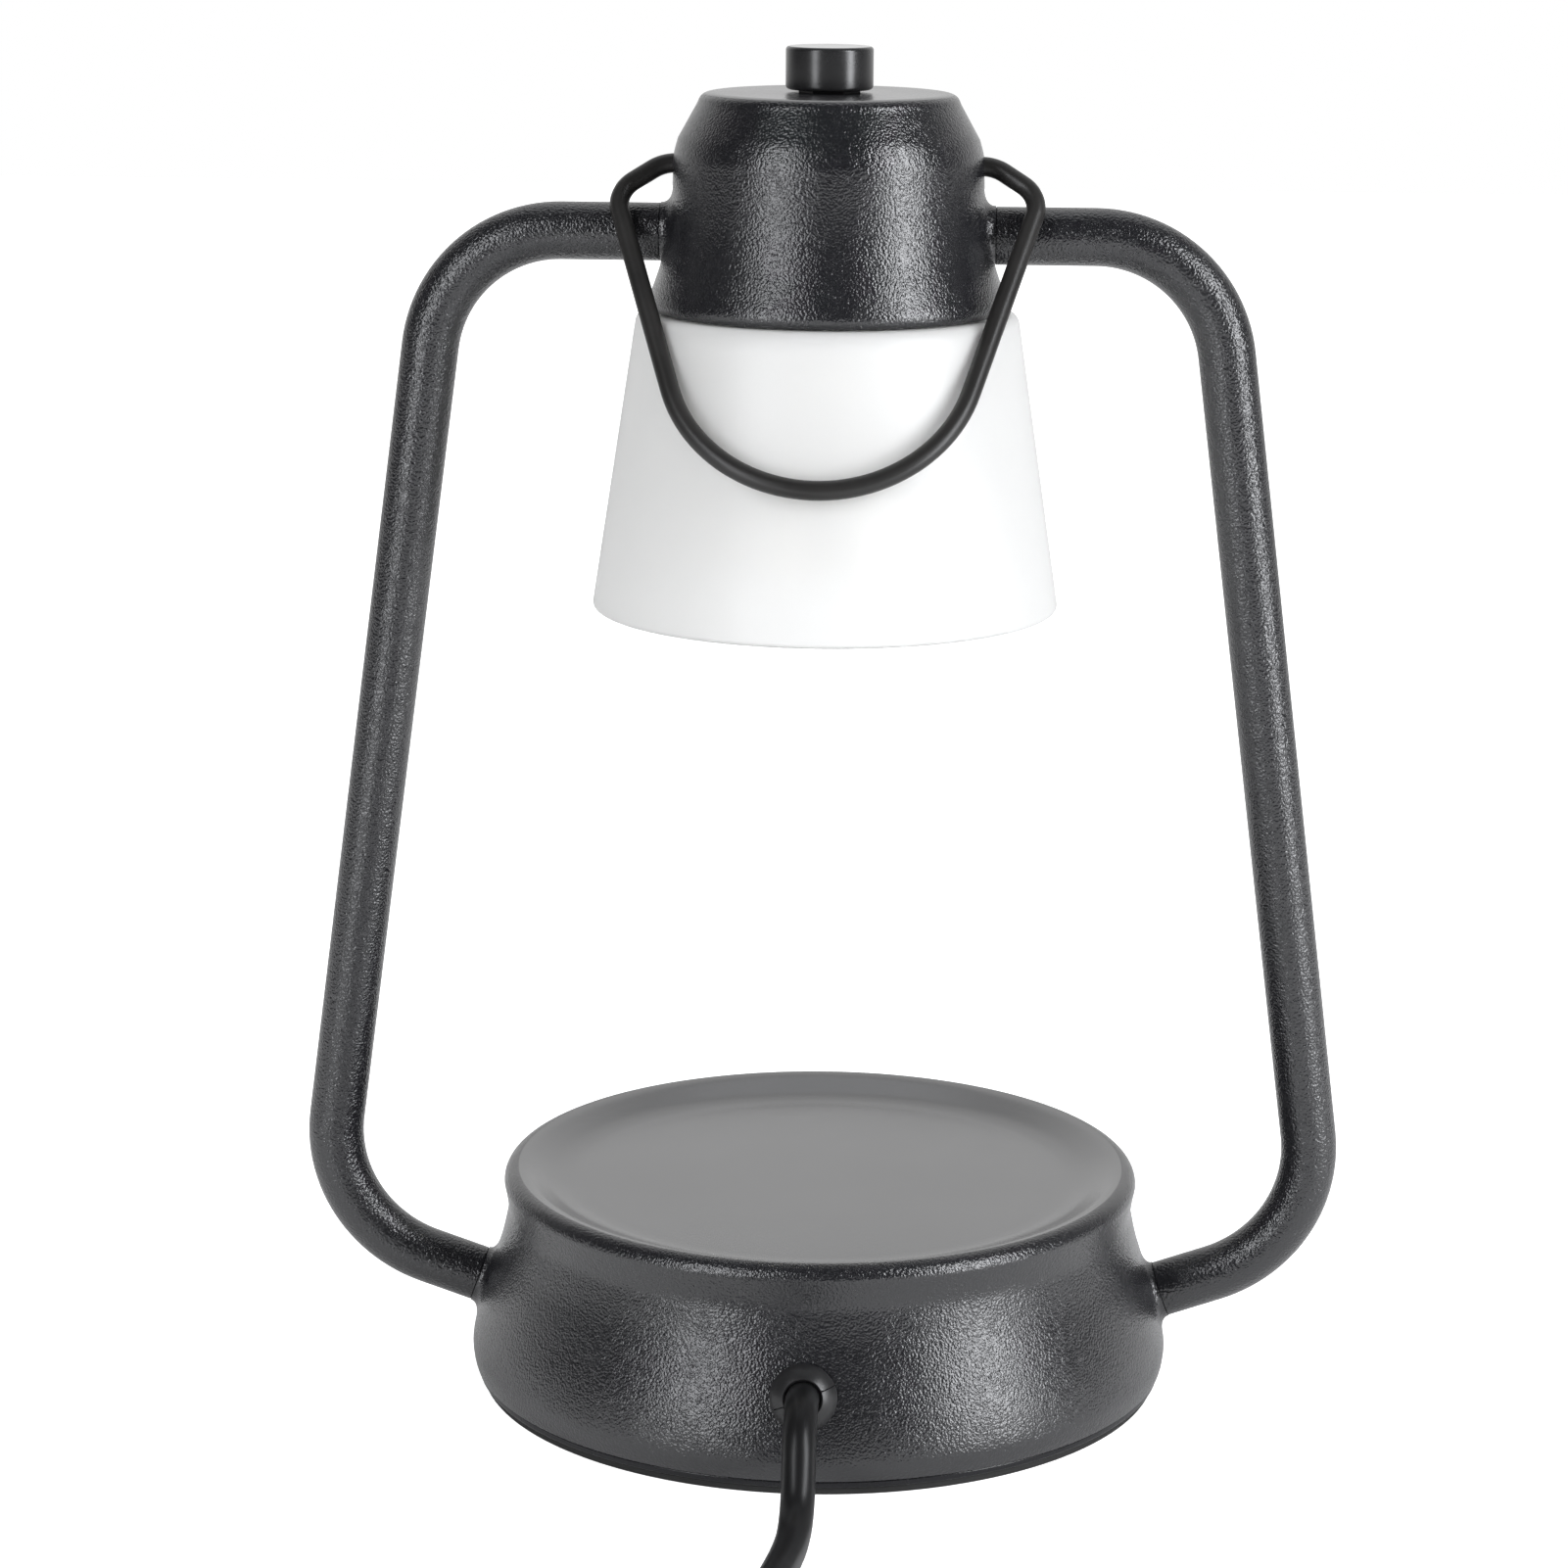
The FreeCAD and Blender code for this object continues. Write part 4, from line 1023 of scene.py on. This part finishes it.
@dataclass
class TubeFrame:
    """The two bent tubes that carry the head."""

    finishes: Finishes
    base: Base
    head: Head
    tube_r: float = 6.0
    side_foot_x: float = 113.5
    side_slope: float = math.tan(math.radians(7.65))
    lower_bend: float = 30.0
    upper_bend: float = 28.0
    end_chamfer: float = 0.2
    sides: int = 64

    def corners(self, side: int) -> list[Vector]:
        """Axis of one tube from collar to collar.

        Args:
            side: 1 for the right tube, -1 for the left.

        Returns:
            Ends and corners in millimetres.
        """
        arm_x, rise = self.base.arm_line()
        low_x = (self.side_foot_x - self.side_slope * (self.base.arm_z - rise * arm_x)) / (
            1 + self.side_slope * rise)
        low = Vector((low_x, 0, self.base.arm_z + (low_x - arm_x) * rise))
        high = Vector((self.side_foot_x - self.side_slope * self.head.arm_z, 0, self.head.arm_z))
        points = [self.base.mouth(), low, high, Vector((self.head.mouth_x(), 0, self.head.arm_z))]
        return [Vector((p.x * side, 0, p.z)) for p in points]

    def build(self) -> None:
        """Builds and settles both tubes."""
        for side, word in ((1, "right"), (-1, "left")):
            tube = tube_along(f"frame_tube_{word}_coated", self.corners(side),
                              [self.lower_bend, self.upper_bend], self.tube_r, self.end_chamfer,
                              self.sides)
            settle(dress(tube, self.finishes.coat_tube), Body.FRAME, "powder_coat",
                   f"frame_tube_{word}")


@dataclass
class Bail:
    """Wire bail that leans on the shade."""

    finishes: Finishes
    wire_r: float = 2.0
    pivot_z: float = 263.2
    end_x: float = 27.6
    knee_in_x: float = 34.3
    knee_out_x: float = 44.0
    knee_drop: float = 7.4
    knee_in_r: float = 8.0
    knee_out_r: float = 7.0
    bow_r: float = 31.6
    drop: float = 76.8
    lean: float = math.radians(37.87)
    end_chamfer: float = 0.3
    sides: int = 32

    def build(self) -> None:
        """Builds the wire hanging straight down, leans it and settles it."""
        bow_centre = self.drop - self.bow_r
        across, down = self.knee_out_x, bow_centre - self.knee_drop
        angle = math.acos(self.bow_r / math.hypot(across, down)) - math.atan2(down, across)
        # The round end is one bend between the two straight sides, at the point where they meet.
        apex = Vector((0, 0, -bow_centre - self.bow_r / math.sin(angle)))
        right = [Vector((self.end_x, 0, 0)), Vector((self.knee_in_x, 0, 0)),
                 Vector((self.knee_out_x, 0, -self.knee_drop))]
        left = [Vector((-p.x, 0, p.z)) for p in reversed(right)]
        knees = [self.knee_in_r, self.knee_out_r]
        wire = tube_along("bail_wire", [*right, apex, *left],
                          [*knees, self.bow_r, *reversed(knees)],
                          self.wire_r, self.end_chamfer, self.sides)
        lean = Matrix.Rotation(-self.lean, 4, "X")
        lean.translation = Vector((0, 0, self.pivot_z))
        placed(wire, lean)
        settle(dress(wire, self.finishes.wire), Body.BAIL, "black_wire", "bail")


@dataclass
class ShadeAndBulb:
    """Frosted shade, its ring and gasket, the lampholder and the bulb."""

    finishes: Finishes
    top_z: float = 233.0
    height: float = 62.3
    top_r: float = 40.1
    bottom_r: float = 49.1
    wall: float = 3.0
    corner: float = 2.5
    hole_r: float = 14.3
    lip: float = 0.9
    inner_corner: float = 1.6
    face_z: float = 227.0
    ring_r: float = 20.0
    ring_hole_r: float = 14.05
    ring_h: float = 2.8
    holder_r: float = 14.0
    holder_round: float = 0.8
    holder_top_z: float = 253.6
    collar_r: float = 17.0
    collar_low_z: float = 235.6
    collar_high_z: float = 238.6
    bulb_h: float = 46.0
    bulb_base_h: float = 12.0
    bulb_rim_h: float = 3.0
    bulb_base_r: float = 10.5
    bulb_rim_r: float = 25.0
    lens_r: float = 23.7

    def build_shade(self) -> Object:
        """Turns the shade, with a rounded lip and shoulder."""
        low = self.top_z - self.height
        inner_top = self.top_z - self.wall
        lip, inside = self.lip, self.inner_corner
        outline = [*arc_pairs((self.bottom_r - lip, low + lip), lip, -90, 0, 6),
                   *arc_pairs((self.top_r - self.corner, self.top_z - self.corner), self.corner,
                              8, 90, 8),
                   (self.hole_r + 0.3, self.top_z), (self.hole_r, self.top_z - 0.3),
                   (self.hole_r, inner_top),
                   *arc_pairs((self.top_r - self.wall - inside, inner_top - inside), inside,
                              90, 8, 6),
                   *arc_pairs((self.bottom_r - self.wall + lip, low + lip), lip, 180, 270, 6)]
        return dress(turned("glass_shade_frosted", outline, MIDDLE_SIDES), self.finishes.frosted)

    def build_ring(self) -> Object:
        """Turns the threaded ring that holds the shade, chamfered towards the bulb."""
        high = self.top_z - self.wall
        low, hole, edge = high - self.ring_h, self.ring_hole_r, self.ring_r
        outline = [(hole, high), (hole, low), (edge - 1.4, low), (edge, low + 0.6), (edge, high)]
        return dress(turned("shade_ring_plated", outline, INNER_SIDES), self.finishes.zinc)

    def build_holder(self) -> Object:
        """Turns the ceramic lampholder, with rounded edges."""
        r, low, high, rolled = self.holder_r, self.face_z, self.holder_top_z, self.holder_round
        outline = [(0, low + 0.2), (r - rolled, low), (r, low + rolled), (r, self.collar_low_z),
                   (self.collar_r, self.collar_low_z), (self.collar_r, self.collar_high_z),
                   (r, self.collar_high_z), (r, high - 0.6), (r - rolled, high), (0, high)]
        return dress(turned("lampholder_glazed", outline, INNER_SIDES), self.finishes.ceramic)

    def build_bulb(self) -> tuple[Object, Object]:
        """Turns the bulb's reflector and its front lens.

        Returns:
            Reflector and lens.
        """
        top = self.face_z - 0.3
        bottom = top - self.bulb_h
        neck, rim = top - self.bulb_base_h, bottom + self.bulb_rim_h
        base_r, rim_r, lens_r = self.bulb_base_r, self.bulb_rim_r, self.lens_r
        curve = smooth_pairs([(base_r, neck), (18.475, neck - 11.78), (22.97, neck - 22.32),
                              (rim_r, rim)], 6)
        inner = [(r - 1.2, z) for r, z in reversed(curve)]
        outline = [(0, top), (base_r - 0.8, top), (base_r, top - 0.8), *curve,
                   (rim_r, bottom + 0.4), (rim_r - 0.4, bottom), (rim_r - 1.2, bottom), *inner,
                   (0, neck)]
        reflector = dress(turned("bulb_reflector_film", outline, INNER_SIDES), self.finishes.mirror)
        lens_outline = [(0, bottom + 0.35), (8, bottom + 0.3), (16, bottom + 0.15),
                        (22, bottom + 0.05), (lens_r, bottom + 0.3), (lens_r, bottom + 1.9),
                        (0, bottom + 2.0)]
        lens = dress(turned("bulb_lens_clear", lens_outline, INNER_SIDES), self.finishes.clear)
        return reflector, lens

    def build(self) -> None:
        """Builds and settles the shade, lampholder and bulb."""
        settle(self.build_shade(), Body.FRAME, "frosted_glass", "glass_shade")
        settle(self.build_ring(), Body.FRAME, "zinc_steel", "shade_ring")
        settle(self.build_holder(), Body.FRAME, "ceramic", "lampholder")
        reflector, lens = self.build_bulb()
        settle(reflector, Body.FRAME, "silver_reflector", "bulb_reflector")
        settle(lens, Body.FRAME, "clear_glass", "bulb_lens")
        dress_nodes(self.finishes.nickel, "bulb_pins")
        dress_nodes(self.finishes.silicone, "shade_gasket")


@dataclass
class Mains:
    """Cord bush, cord with its coil, and plug."""

    finishes: Finishes
    base: Base
    diameter: float = 6.9
    length: float = 1750.0
    gland_z: float = 20.6
    tilt: float = math.radians(15.0)
    flange_r: float = 7.0
    neck_r: float = 5.6
    dome_h: float = 4.0
    gap: float = 0.55
    split: float = math.radians(23.0)
    floor_z: float = 3.5
    heading: float = math.radians(15.5)
    lead_in: float = 8.0
    pitch: float = 7.45
    first_r: float = 49.03
    inward: int = 5
    outward: int = 6
    tail: float = 31.0
    sleeve_l: float = 24.0
    sleeve_ribs: int = 7
    plug_l: float = 32.0
    plug_w: float = 36.0
    pin_pitch: float = 19.0
    pin_l: float = 19.0
    pin_r: float = 2.4
    pin_round: float = 1.6
    neck_l: float = 3.6
    neck_round: float = 0.6
    mouth_round: float = 0.45
    joint_gap: float = 0.06
    bore_slack: float = 0.15
    turn_steps: int = 12
    route: list[tuple[float, float, float]] = field(default_factory=lambda: [
        (0.0, 5.2, 22.89), (0.0, 10.2, 21.6), (0.0, 14.4, 18.4), (0.1, 17.6, 12.8),
        (0.1, 21.8, 7.2), (-0.2, 27.8, 4.2), (-1.0, 35.2, 3.5), (-2.7, 45.5, 3.5),
        (-5.4, 59.0, 3.5), (-7.6, 77.0, 3.5), (-9.2, 97.0, 3.5), (-12.6, 117.0, 3.5),
        (-17.6, 135.0, 3.5)])

    def axis(self) -> Vector:
        """Outward direction of the bush."""
        return Vector((0, -math.cos(self.tilt), math.sin(self.tilt)))

    def seat(self) -> Vector:
        """Where the bush's flange sits on the wall."""
        return Vector((0, -self.base.wall_r(self.gland_z), self.gland_z)) + self.axis() * self.gap

    def tip(self) -> Vector:
        """Where the cord leaves the bush."""
        return self.seat() + self.axis() * self.dome_h

    def build_gland_half(self, half: Half) -> Object:
        """One half of the domed bush, cut along the slanting joint.

        Args:
            half: Which half.

        Returns:
            The half, in place.
        """
        rise, flange, bore = self.dome_h, self.flange_r, self.diameter / 2 + self.bore_slack
        sphere = (flange ** 2 + rise ** 2) / (2 * rise)
        dome = []
        for k in range(13):
            r = flange - (flange - bore - self.mouth_round) * k / 12
            dome.append((r, rise - sphere + math.sqrt(sphere ** 2 - r ** 2)))
        outline = [(bore, -self.neck_l), (flange - 1.0, -self.neck_l),
                   (self.neck_r, self.neck_round - self.neck_l), (self.neck_r, 0.0),
                   (flange, 0.0), *dome[1:], (bore, dome[-1][1] - 0.4)]
        bush = turned(f"cord_bush_{half.name.lower()}", outline, 72)
        select_only(bush)
        bpy.ops.object.mode_set(mode="EDIT")
        bpy.ops.mesh.select_all(action="SELECT")
        normal = Vector((-math.sin(self.split), math.cos(self.split), 0)) * half.value
        bpy.ops.mesh.bisect(plane_co=normal * self.joint_gap * MM, plane_no=normal, use_fill=True,
                            clear_inner=True)
        bpy.ops.object.mode_set(mode="OBJECT")
        bevelled(bush, 0.18, 2, 40)
        along = self.axis()
        across = Vector((1, 0, 0))
        placed(bush, axes_matrix(across, along.cross(across), along, self.seat()))
        return dress(bush, self.finishes.nylon)

    def cord_points(self) -> list[Vector]:
        """Points of the cord's line: its route over the table, the coil's turns and the end."""
        points = [self.tip()]
        points += [Vector((x, -self.base.radius - out, z)) for x, out, z in self.route]
        ahead = Vector((-math.sin(self.heading), -math.cos(self.heading), 0))
        at = points[-1] + ahead * self.lead_in
        radius, steps = self.first_r, self.turn_steps
        halves = self.inward + 1 + self.outward
        for turn in range(halves):
            right = Vector((ahead.y, -ahead.x, 0))
            centre = at + right * radius
            reach = radius / math.cos(math.pi / steps / 2)
            climb = Vector((0, 0, self.pitch if turn == self.inward else 0.0))
            for k in range(steps):
                angle = (k + 0.5) * math.pi / steps
                back, out = math.cos(angle), math.sin(angle)
                points.append(centre - right * (reach * back) + ahead * (reach * out)
                              + climb * ((1 - back) / 2))
            at = at + right * (2 * radius) + climb
            ahead = -ahead
            radius += self.pitch / 2 * (-1 if turn < self.inward else 1)
        points.append(at + ahead * 7.0)
        points.append(at + ahead * self.tail)
        return points

    def plug_place(self) -> Matrix:
        """Place of the plug: its Z runs from cord to pins."""
        points = self.cord_points()
        along = (points[-1] - points[-2]).normalized()
        up = Vector((0, 0, 1))
        return axes_matrix(up.cross(along), up, along, points[-1])

    def build_cord(self) -> Object:
        """The cord and its coil as one smooth line."""
        clear_selection()
        data = bpy.data.curves.new("mains_cord", "CURVE")
        data.dimensions = "3D"
        data.bevel_depth = self.diameter / 2 * MM
        data.bevel_resolution = 7
        data.use_fill_caps = True
        data.resolution_u = 6
        spline = data.splines.new("NURBS")
        points = self.cord_points()
        spline.points.add(len(points) - 1)
        for target, point in zip(spline.points, points):
            target.co = (*(point * MM), 1)
        spline.order_u = 3
        spline.use_endpoint_u = True
        spline.use_smooth = True
        cord = bpy.data.objects.new("mains_cord", data)
        bpy.context.scene.collection.objects.link(cord)
        data.materials.append(self.finishes.jacket)
        return cord

    def build_sleeve(self) -> Object:
        """The plug's ribbed bend relief."""
        outline = [(3.5, 0.0), (4.2, 0.0)]
        pitch = (self.sleeve_l - 3.0) / self.sleeve_ribs
        for k in range(self.sleeve_ribs):
            z0 = 0.8 + pitch * k
            r = 4.3 + 2.1 * (z0 / self.sleeve_l)
            outline += [(r, z0), (r + 0.1, z0 + pitch * 0.5), (r - 0.1, z0 + pitch * 0.62),
                        (r - 0.75, z0 + pitch * 0.66), (r - 0.75, z0 + pitch * 0.94)]
        outline += [(6.3, self.sleeve_l - 1.8), (6.4, self.sleeve_l), (3.5, self.sleeve_l)]
        sleeve = turned("plug_sleeve_ribbed", outline, 56)
        placed(sleeve, self.plug_place())
        return dress(sleeve, self.finishes.nylon)

    def build_plug(self) -> Object:
        """The moulded plug body, with a waist for the fingers."""
        full_w, full_h = self.plug_w, 2 * (self.floor_z + self.pitch - 0.05)
        nose = [(0.0, 24.0, 15.0), (1.2, 25.4, 16.0), (5.0, 28.4, 17.4), (9.5, 32.4, 19.8),
                (13.0, full_w - 1.2, full_h - 0.6)]
        # Past the nose the section is the full one, drawn in at the groove and the far edge.
        drawn_in = [(14.4, 0.0), (16.8, 0.0), (17.6, 1.4), (19.4, 1.8), (20.2, 0.6), (21.0, 0.0),
                    (30.2, 0.0), (31.4, 0.8), (self.plug_l, 2.2)]
        stations = nose + [(z, full_w - less, full_h - less) for z, less in drawn_in]
        sides = 64

        def section(width: float, tall: float, z: float) -> list[Vector]:
            """Points of a section with round sides, at a distance along the plug."""
            flat, r, ring = (width - tall) / 2, tall / 2, []
            for k in range(sides):
                angle = 2 * math.pi * (k + 0.5) / sides
                push = flat if math.cos(angle) > 0 else -flat
                ring.append(Vector((push + r * math.cos(angle), r * math.sin(angle),
                                    z + self.sleeve_l)))
            return ring

        start_ring(Vector((0, 0, 0)), Vector((0, 0, 1)), 10.0, sides)
        for _ in stations[1:]:
            push_ring(Vector((0, 0, 1)))
        bpy.ops.object.mode_set(mode="OBJECT")
        obj = bpy.context.view_layer.objects.active
        rings = [section(width, tall, z) for z, width, tall in stations]
        for k, vertex in enumerate(obj.data.vertices):
            ring, spoke = divmod(k, sides)
            vertex.co = rings[ring][spoke] * MM
        for ring in (0, len(stations) - 1):
            cap_ring(obj, ring * sides, sides)
        plug = finish_mesh("plug_body_moulded", smooth_angle=32)
        placed(plug, self.plug_place())
        return dress(plug, self.finishes.nylon)

    def build_pins(self) -> Object:
        """The plug's round pins, with rounded ends."""
        pins = []
        for side in (1, -1):
            low = self.sleeve_l + self.plug_l
            high, r, rolled = low + self.pin_l, self.pin_r, self.pin_round
            outline = [(0, low), (r, low), (r, high - rolled),
                       *arc_pairs((r - rolled, high - rolled), rolled, 0, 90, 5), (0, high)]
            pin = turned(f"plug_pin_{side}", outline, 32)
            pins.append(placed(pin, Matrix.Translation((side * self.pin_pitch / 2, 0, 0))))
        both = joined(pins)
        both.name = "plug_pins_nickel"
        placed(both, self.plug_place())
        return dress(both, self.finishes.nickel)

    def build(self) -> None:
        """Builds and settles the cord and all that is on it."""
        halves = [settle(self.build_gland_half(half), Body.FRAME, "black_nylon",
                         f"gland_{half.name.lower()}_half") for half in Half]
        cord = settle(self.build_cord(), Body.FRAME, "cord_pvc", "cord_run", "cord_coil")
        sleeve = settle(self.build_sleeve(), Body.FRAME, "black_nylon", "plug_sleeve")
        plug = settle(self.build_plug(), Body.FRAME, "black_nylon", "plug_body")
        pins = settle(self.build_pins(), Body.FRAME, "nickel_pins", "plug_pins")
        tuple(self.tip() * MM)


# Room, light and camera


@dataclass(frozen=True)
class Softbox:
    """Rectangular light that faces the lamp. Lengths in metres, power in watts."""

    name: str
    azimuth: float
    height: float
    distance: float
    size: Pair
    power: float
    tint: Colour = (0.955, 0.97, 1.0)
    aim_height: float = 0.14

    def build(self) -> None:
        """Adds the light, turned from the camera's side to the right by its azimuth in degrees."""
        data = bpy.data.lights.new(self.name, "AREA")
        data.shape = "RECTANGLE"
        data.size, data.size_y = self.size
        data.energy = self.power
        data.color = self.tint
        light = bpy.data.objects.new(self.name, data)
        bpy.context.scene.collection.objects.link(light)
        angle = math.radians(self.azimuth)
        light.location = (self.distance * math.sin(angle), -self.distance * math.cos(angle),
                          self.height)
        aim = Vector((0, 0, self.aim_height)) - light.location
        light.rotation_euler = aim.to_track_quat("-Z", "Y").to_euler()


@dataclass
class Studio:
    """White floor and surroundings, two upright softboxes and a soft top light."""

    floor_size: float = 6.0
    floor_tone: float = 0.86
    floor_glow: float = 0.78
    surround: float = 0.78
    front: float = 0.03
    front_ends: float = 0.05
    back_starts: float = 0.9
    boxes: tuple[Softbox, ...] = (
        Softbox("softbox_left", -36, 0.46, 1.1, (0.26, 1.2), 8.0),
        Softbox("softbox_right", 59, 0.46, 1.1, (0.3, 1.2), 16.5),
        Softbox("softbox_top", 180, 1.5, 0.35, (1.2, 1.0), 2.5))

    def build_floor(self) -> None:
        """Adds the floor, which shows white and keeps the lamp's shadow."""
        clear_selection()
        bpy.ops.mesh.primitive_plane_add(size=self.floor_size, location=(0, 0, 0))
        floor = bpy.context.object
        floor.name = "studio_floor"
        material, sheet, _ = new_material("white floor")
        link = sheet.tree.links.new
        path = sheet.add("ShaderNodeLightPath")
        diffuse = sheet.add("ShaderNodeBsdfDiffuse", Color=(*[self.floor_tone] * 3, 1))
        glow = sheet.add("ShaderNodeEmission", Color=(1, 1, 1, 1), Strength=self.floor_glow)
        lit = sheet.add("ShaderNodeAddShader")
        link(diffuse.outputs[0], lit.inputs[0])
        link(glow.outputs[0], lit.inputs[1])
        seen = sheet.add("ShaderNodeMixShader", Fac=path.outputs["Is Camera Ray"])
        link(diffuse.outputs[0], seen.inputs[1])
        link(lit.outputs[0], seen.inputs[2])
        finish_material(sheet, seen)
        dress(floor, material)

    def build_surround(self) -> None:
        """Sets the surroundings: white to camera and glass, mirrored dark in front of the lamp."""
        world = bpy.data.worlds.new("white room")
        world.use_nodes = True
        world.node_tree.nodes.clear()
        sheet = Sheet(world.node_tree)
        path = sheet.add("ShaderNodeLightPath")
        seen = sheet.maths("MAXIMUM", path.outputs["Is Camera Ray"],
                           path.outputs["Is Transmission Ray"])
        direction = sheet.add("ShaderNodeTexCoord").outputs["Generated"]
        toward = sheet.add("ShaderNodeSeparateXYZ", Vector=direction)
        behind = sheet.add("ShaderNodeMapRange", {"interpolation_type": "SMOOTHSTEP"},
                           Value=toward.outputs["Y"], From_Min=self.front_ends,
                           From_Max=self.back_starts, To_Min=self.front, To_Max=1.0)
        plain = sheet.add("ShaderNodeMix", {"data_type": "FLOAT"}, Factor=seen)
        plain.inputs[2].default_value = self.surround
        plain.inputs[3].default_value = 1.0
        strength = sheet.add("ShaderNodeMix", {"data_type": "FLOAT"},
                             Factor=path.outputs["Is Glossy Ray"])
        sheet.tree.links.new(plain.outputs[0], strength.inputs[2])
        sheet.tree.links.new(behind.outputs["Result"], strength.inputs[3])
        background = sheet.add("ShaderNodeBackground", Color=(1, 1, 1, 1),
                               Strength=strength.outputs[0])
        sheet.add("ShaderNodeOutputWorld", Surface=background.outputs[0])
        bpy.context.scene.world = world

    def build(self) -> None:
        """Builds the whole studio."""
        self.build_floor()
        self.build_surround()
        for box in self.boxes:
            box.build()
        bpy.context.scene.view_settings.view_transform = "Standard"


@dataclass
class Viewpoint:
    """Camera at the photograph's angle."""

    place: tuple[float, float, float] = (0.0353, -0.8583, 0.3326)
    forward: tuple[float, float, float] = (-0.0401, 0.9729, -0.2278)
    roll: float = math.radians(0.5)
    lens: float = 94.6
    sensor: float = 36.0
    shift: float = -0.0249
    near: float = 0.05

    def build(self) -> None:
        """Adds the camera and makes it the scene's own."""
        data = bpy.data.cameras.new("camera")
        data.lens = self.lens
        data.sensor_width = self.sensor
        data.shift_x = self.shift
        data.clip_start = self.near
        camera = bpy.data.objects.new("camera", data)
        bpy.context.scene.collection.objects.link(camera)
        ahead = Vector(self.forward).normalized()
        right = ahead.cross(Vector((0, 0, 1))).normalized()
        up = right.cross(ahead).normalized()
        level_right = right * math.cos(self.roll) + up * math.sin(self.roll)
        level_up = up * math.cos(self.roll) - right * math.sin(self.roll)
        camera.matrix_world = axes_matrix(level_right, level_up, -ahead, Vector(self.place))
        bpy.context.scene.camera = camera


def main() -> None:
    """Builds the lamp, the studio and the camera."""
    logging.basicConfig(level=logging.INFO, format="%(message)s")
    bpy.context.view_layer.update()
    Viewpoint().build()
    finishes = Finishes()
    base = Base(finishes)
    Mains(finishes, base).build()
    base.build()
    head = Head(finishes)
    head.build()
    TubeFrame(finishes, base, head).build()
    Bail(finishes).build()
    ShadeAndBulb(finishes).build()
    Studio().build()
    clear_selection()


if __name__ == "__main__":
    main()
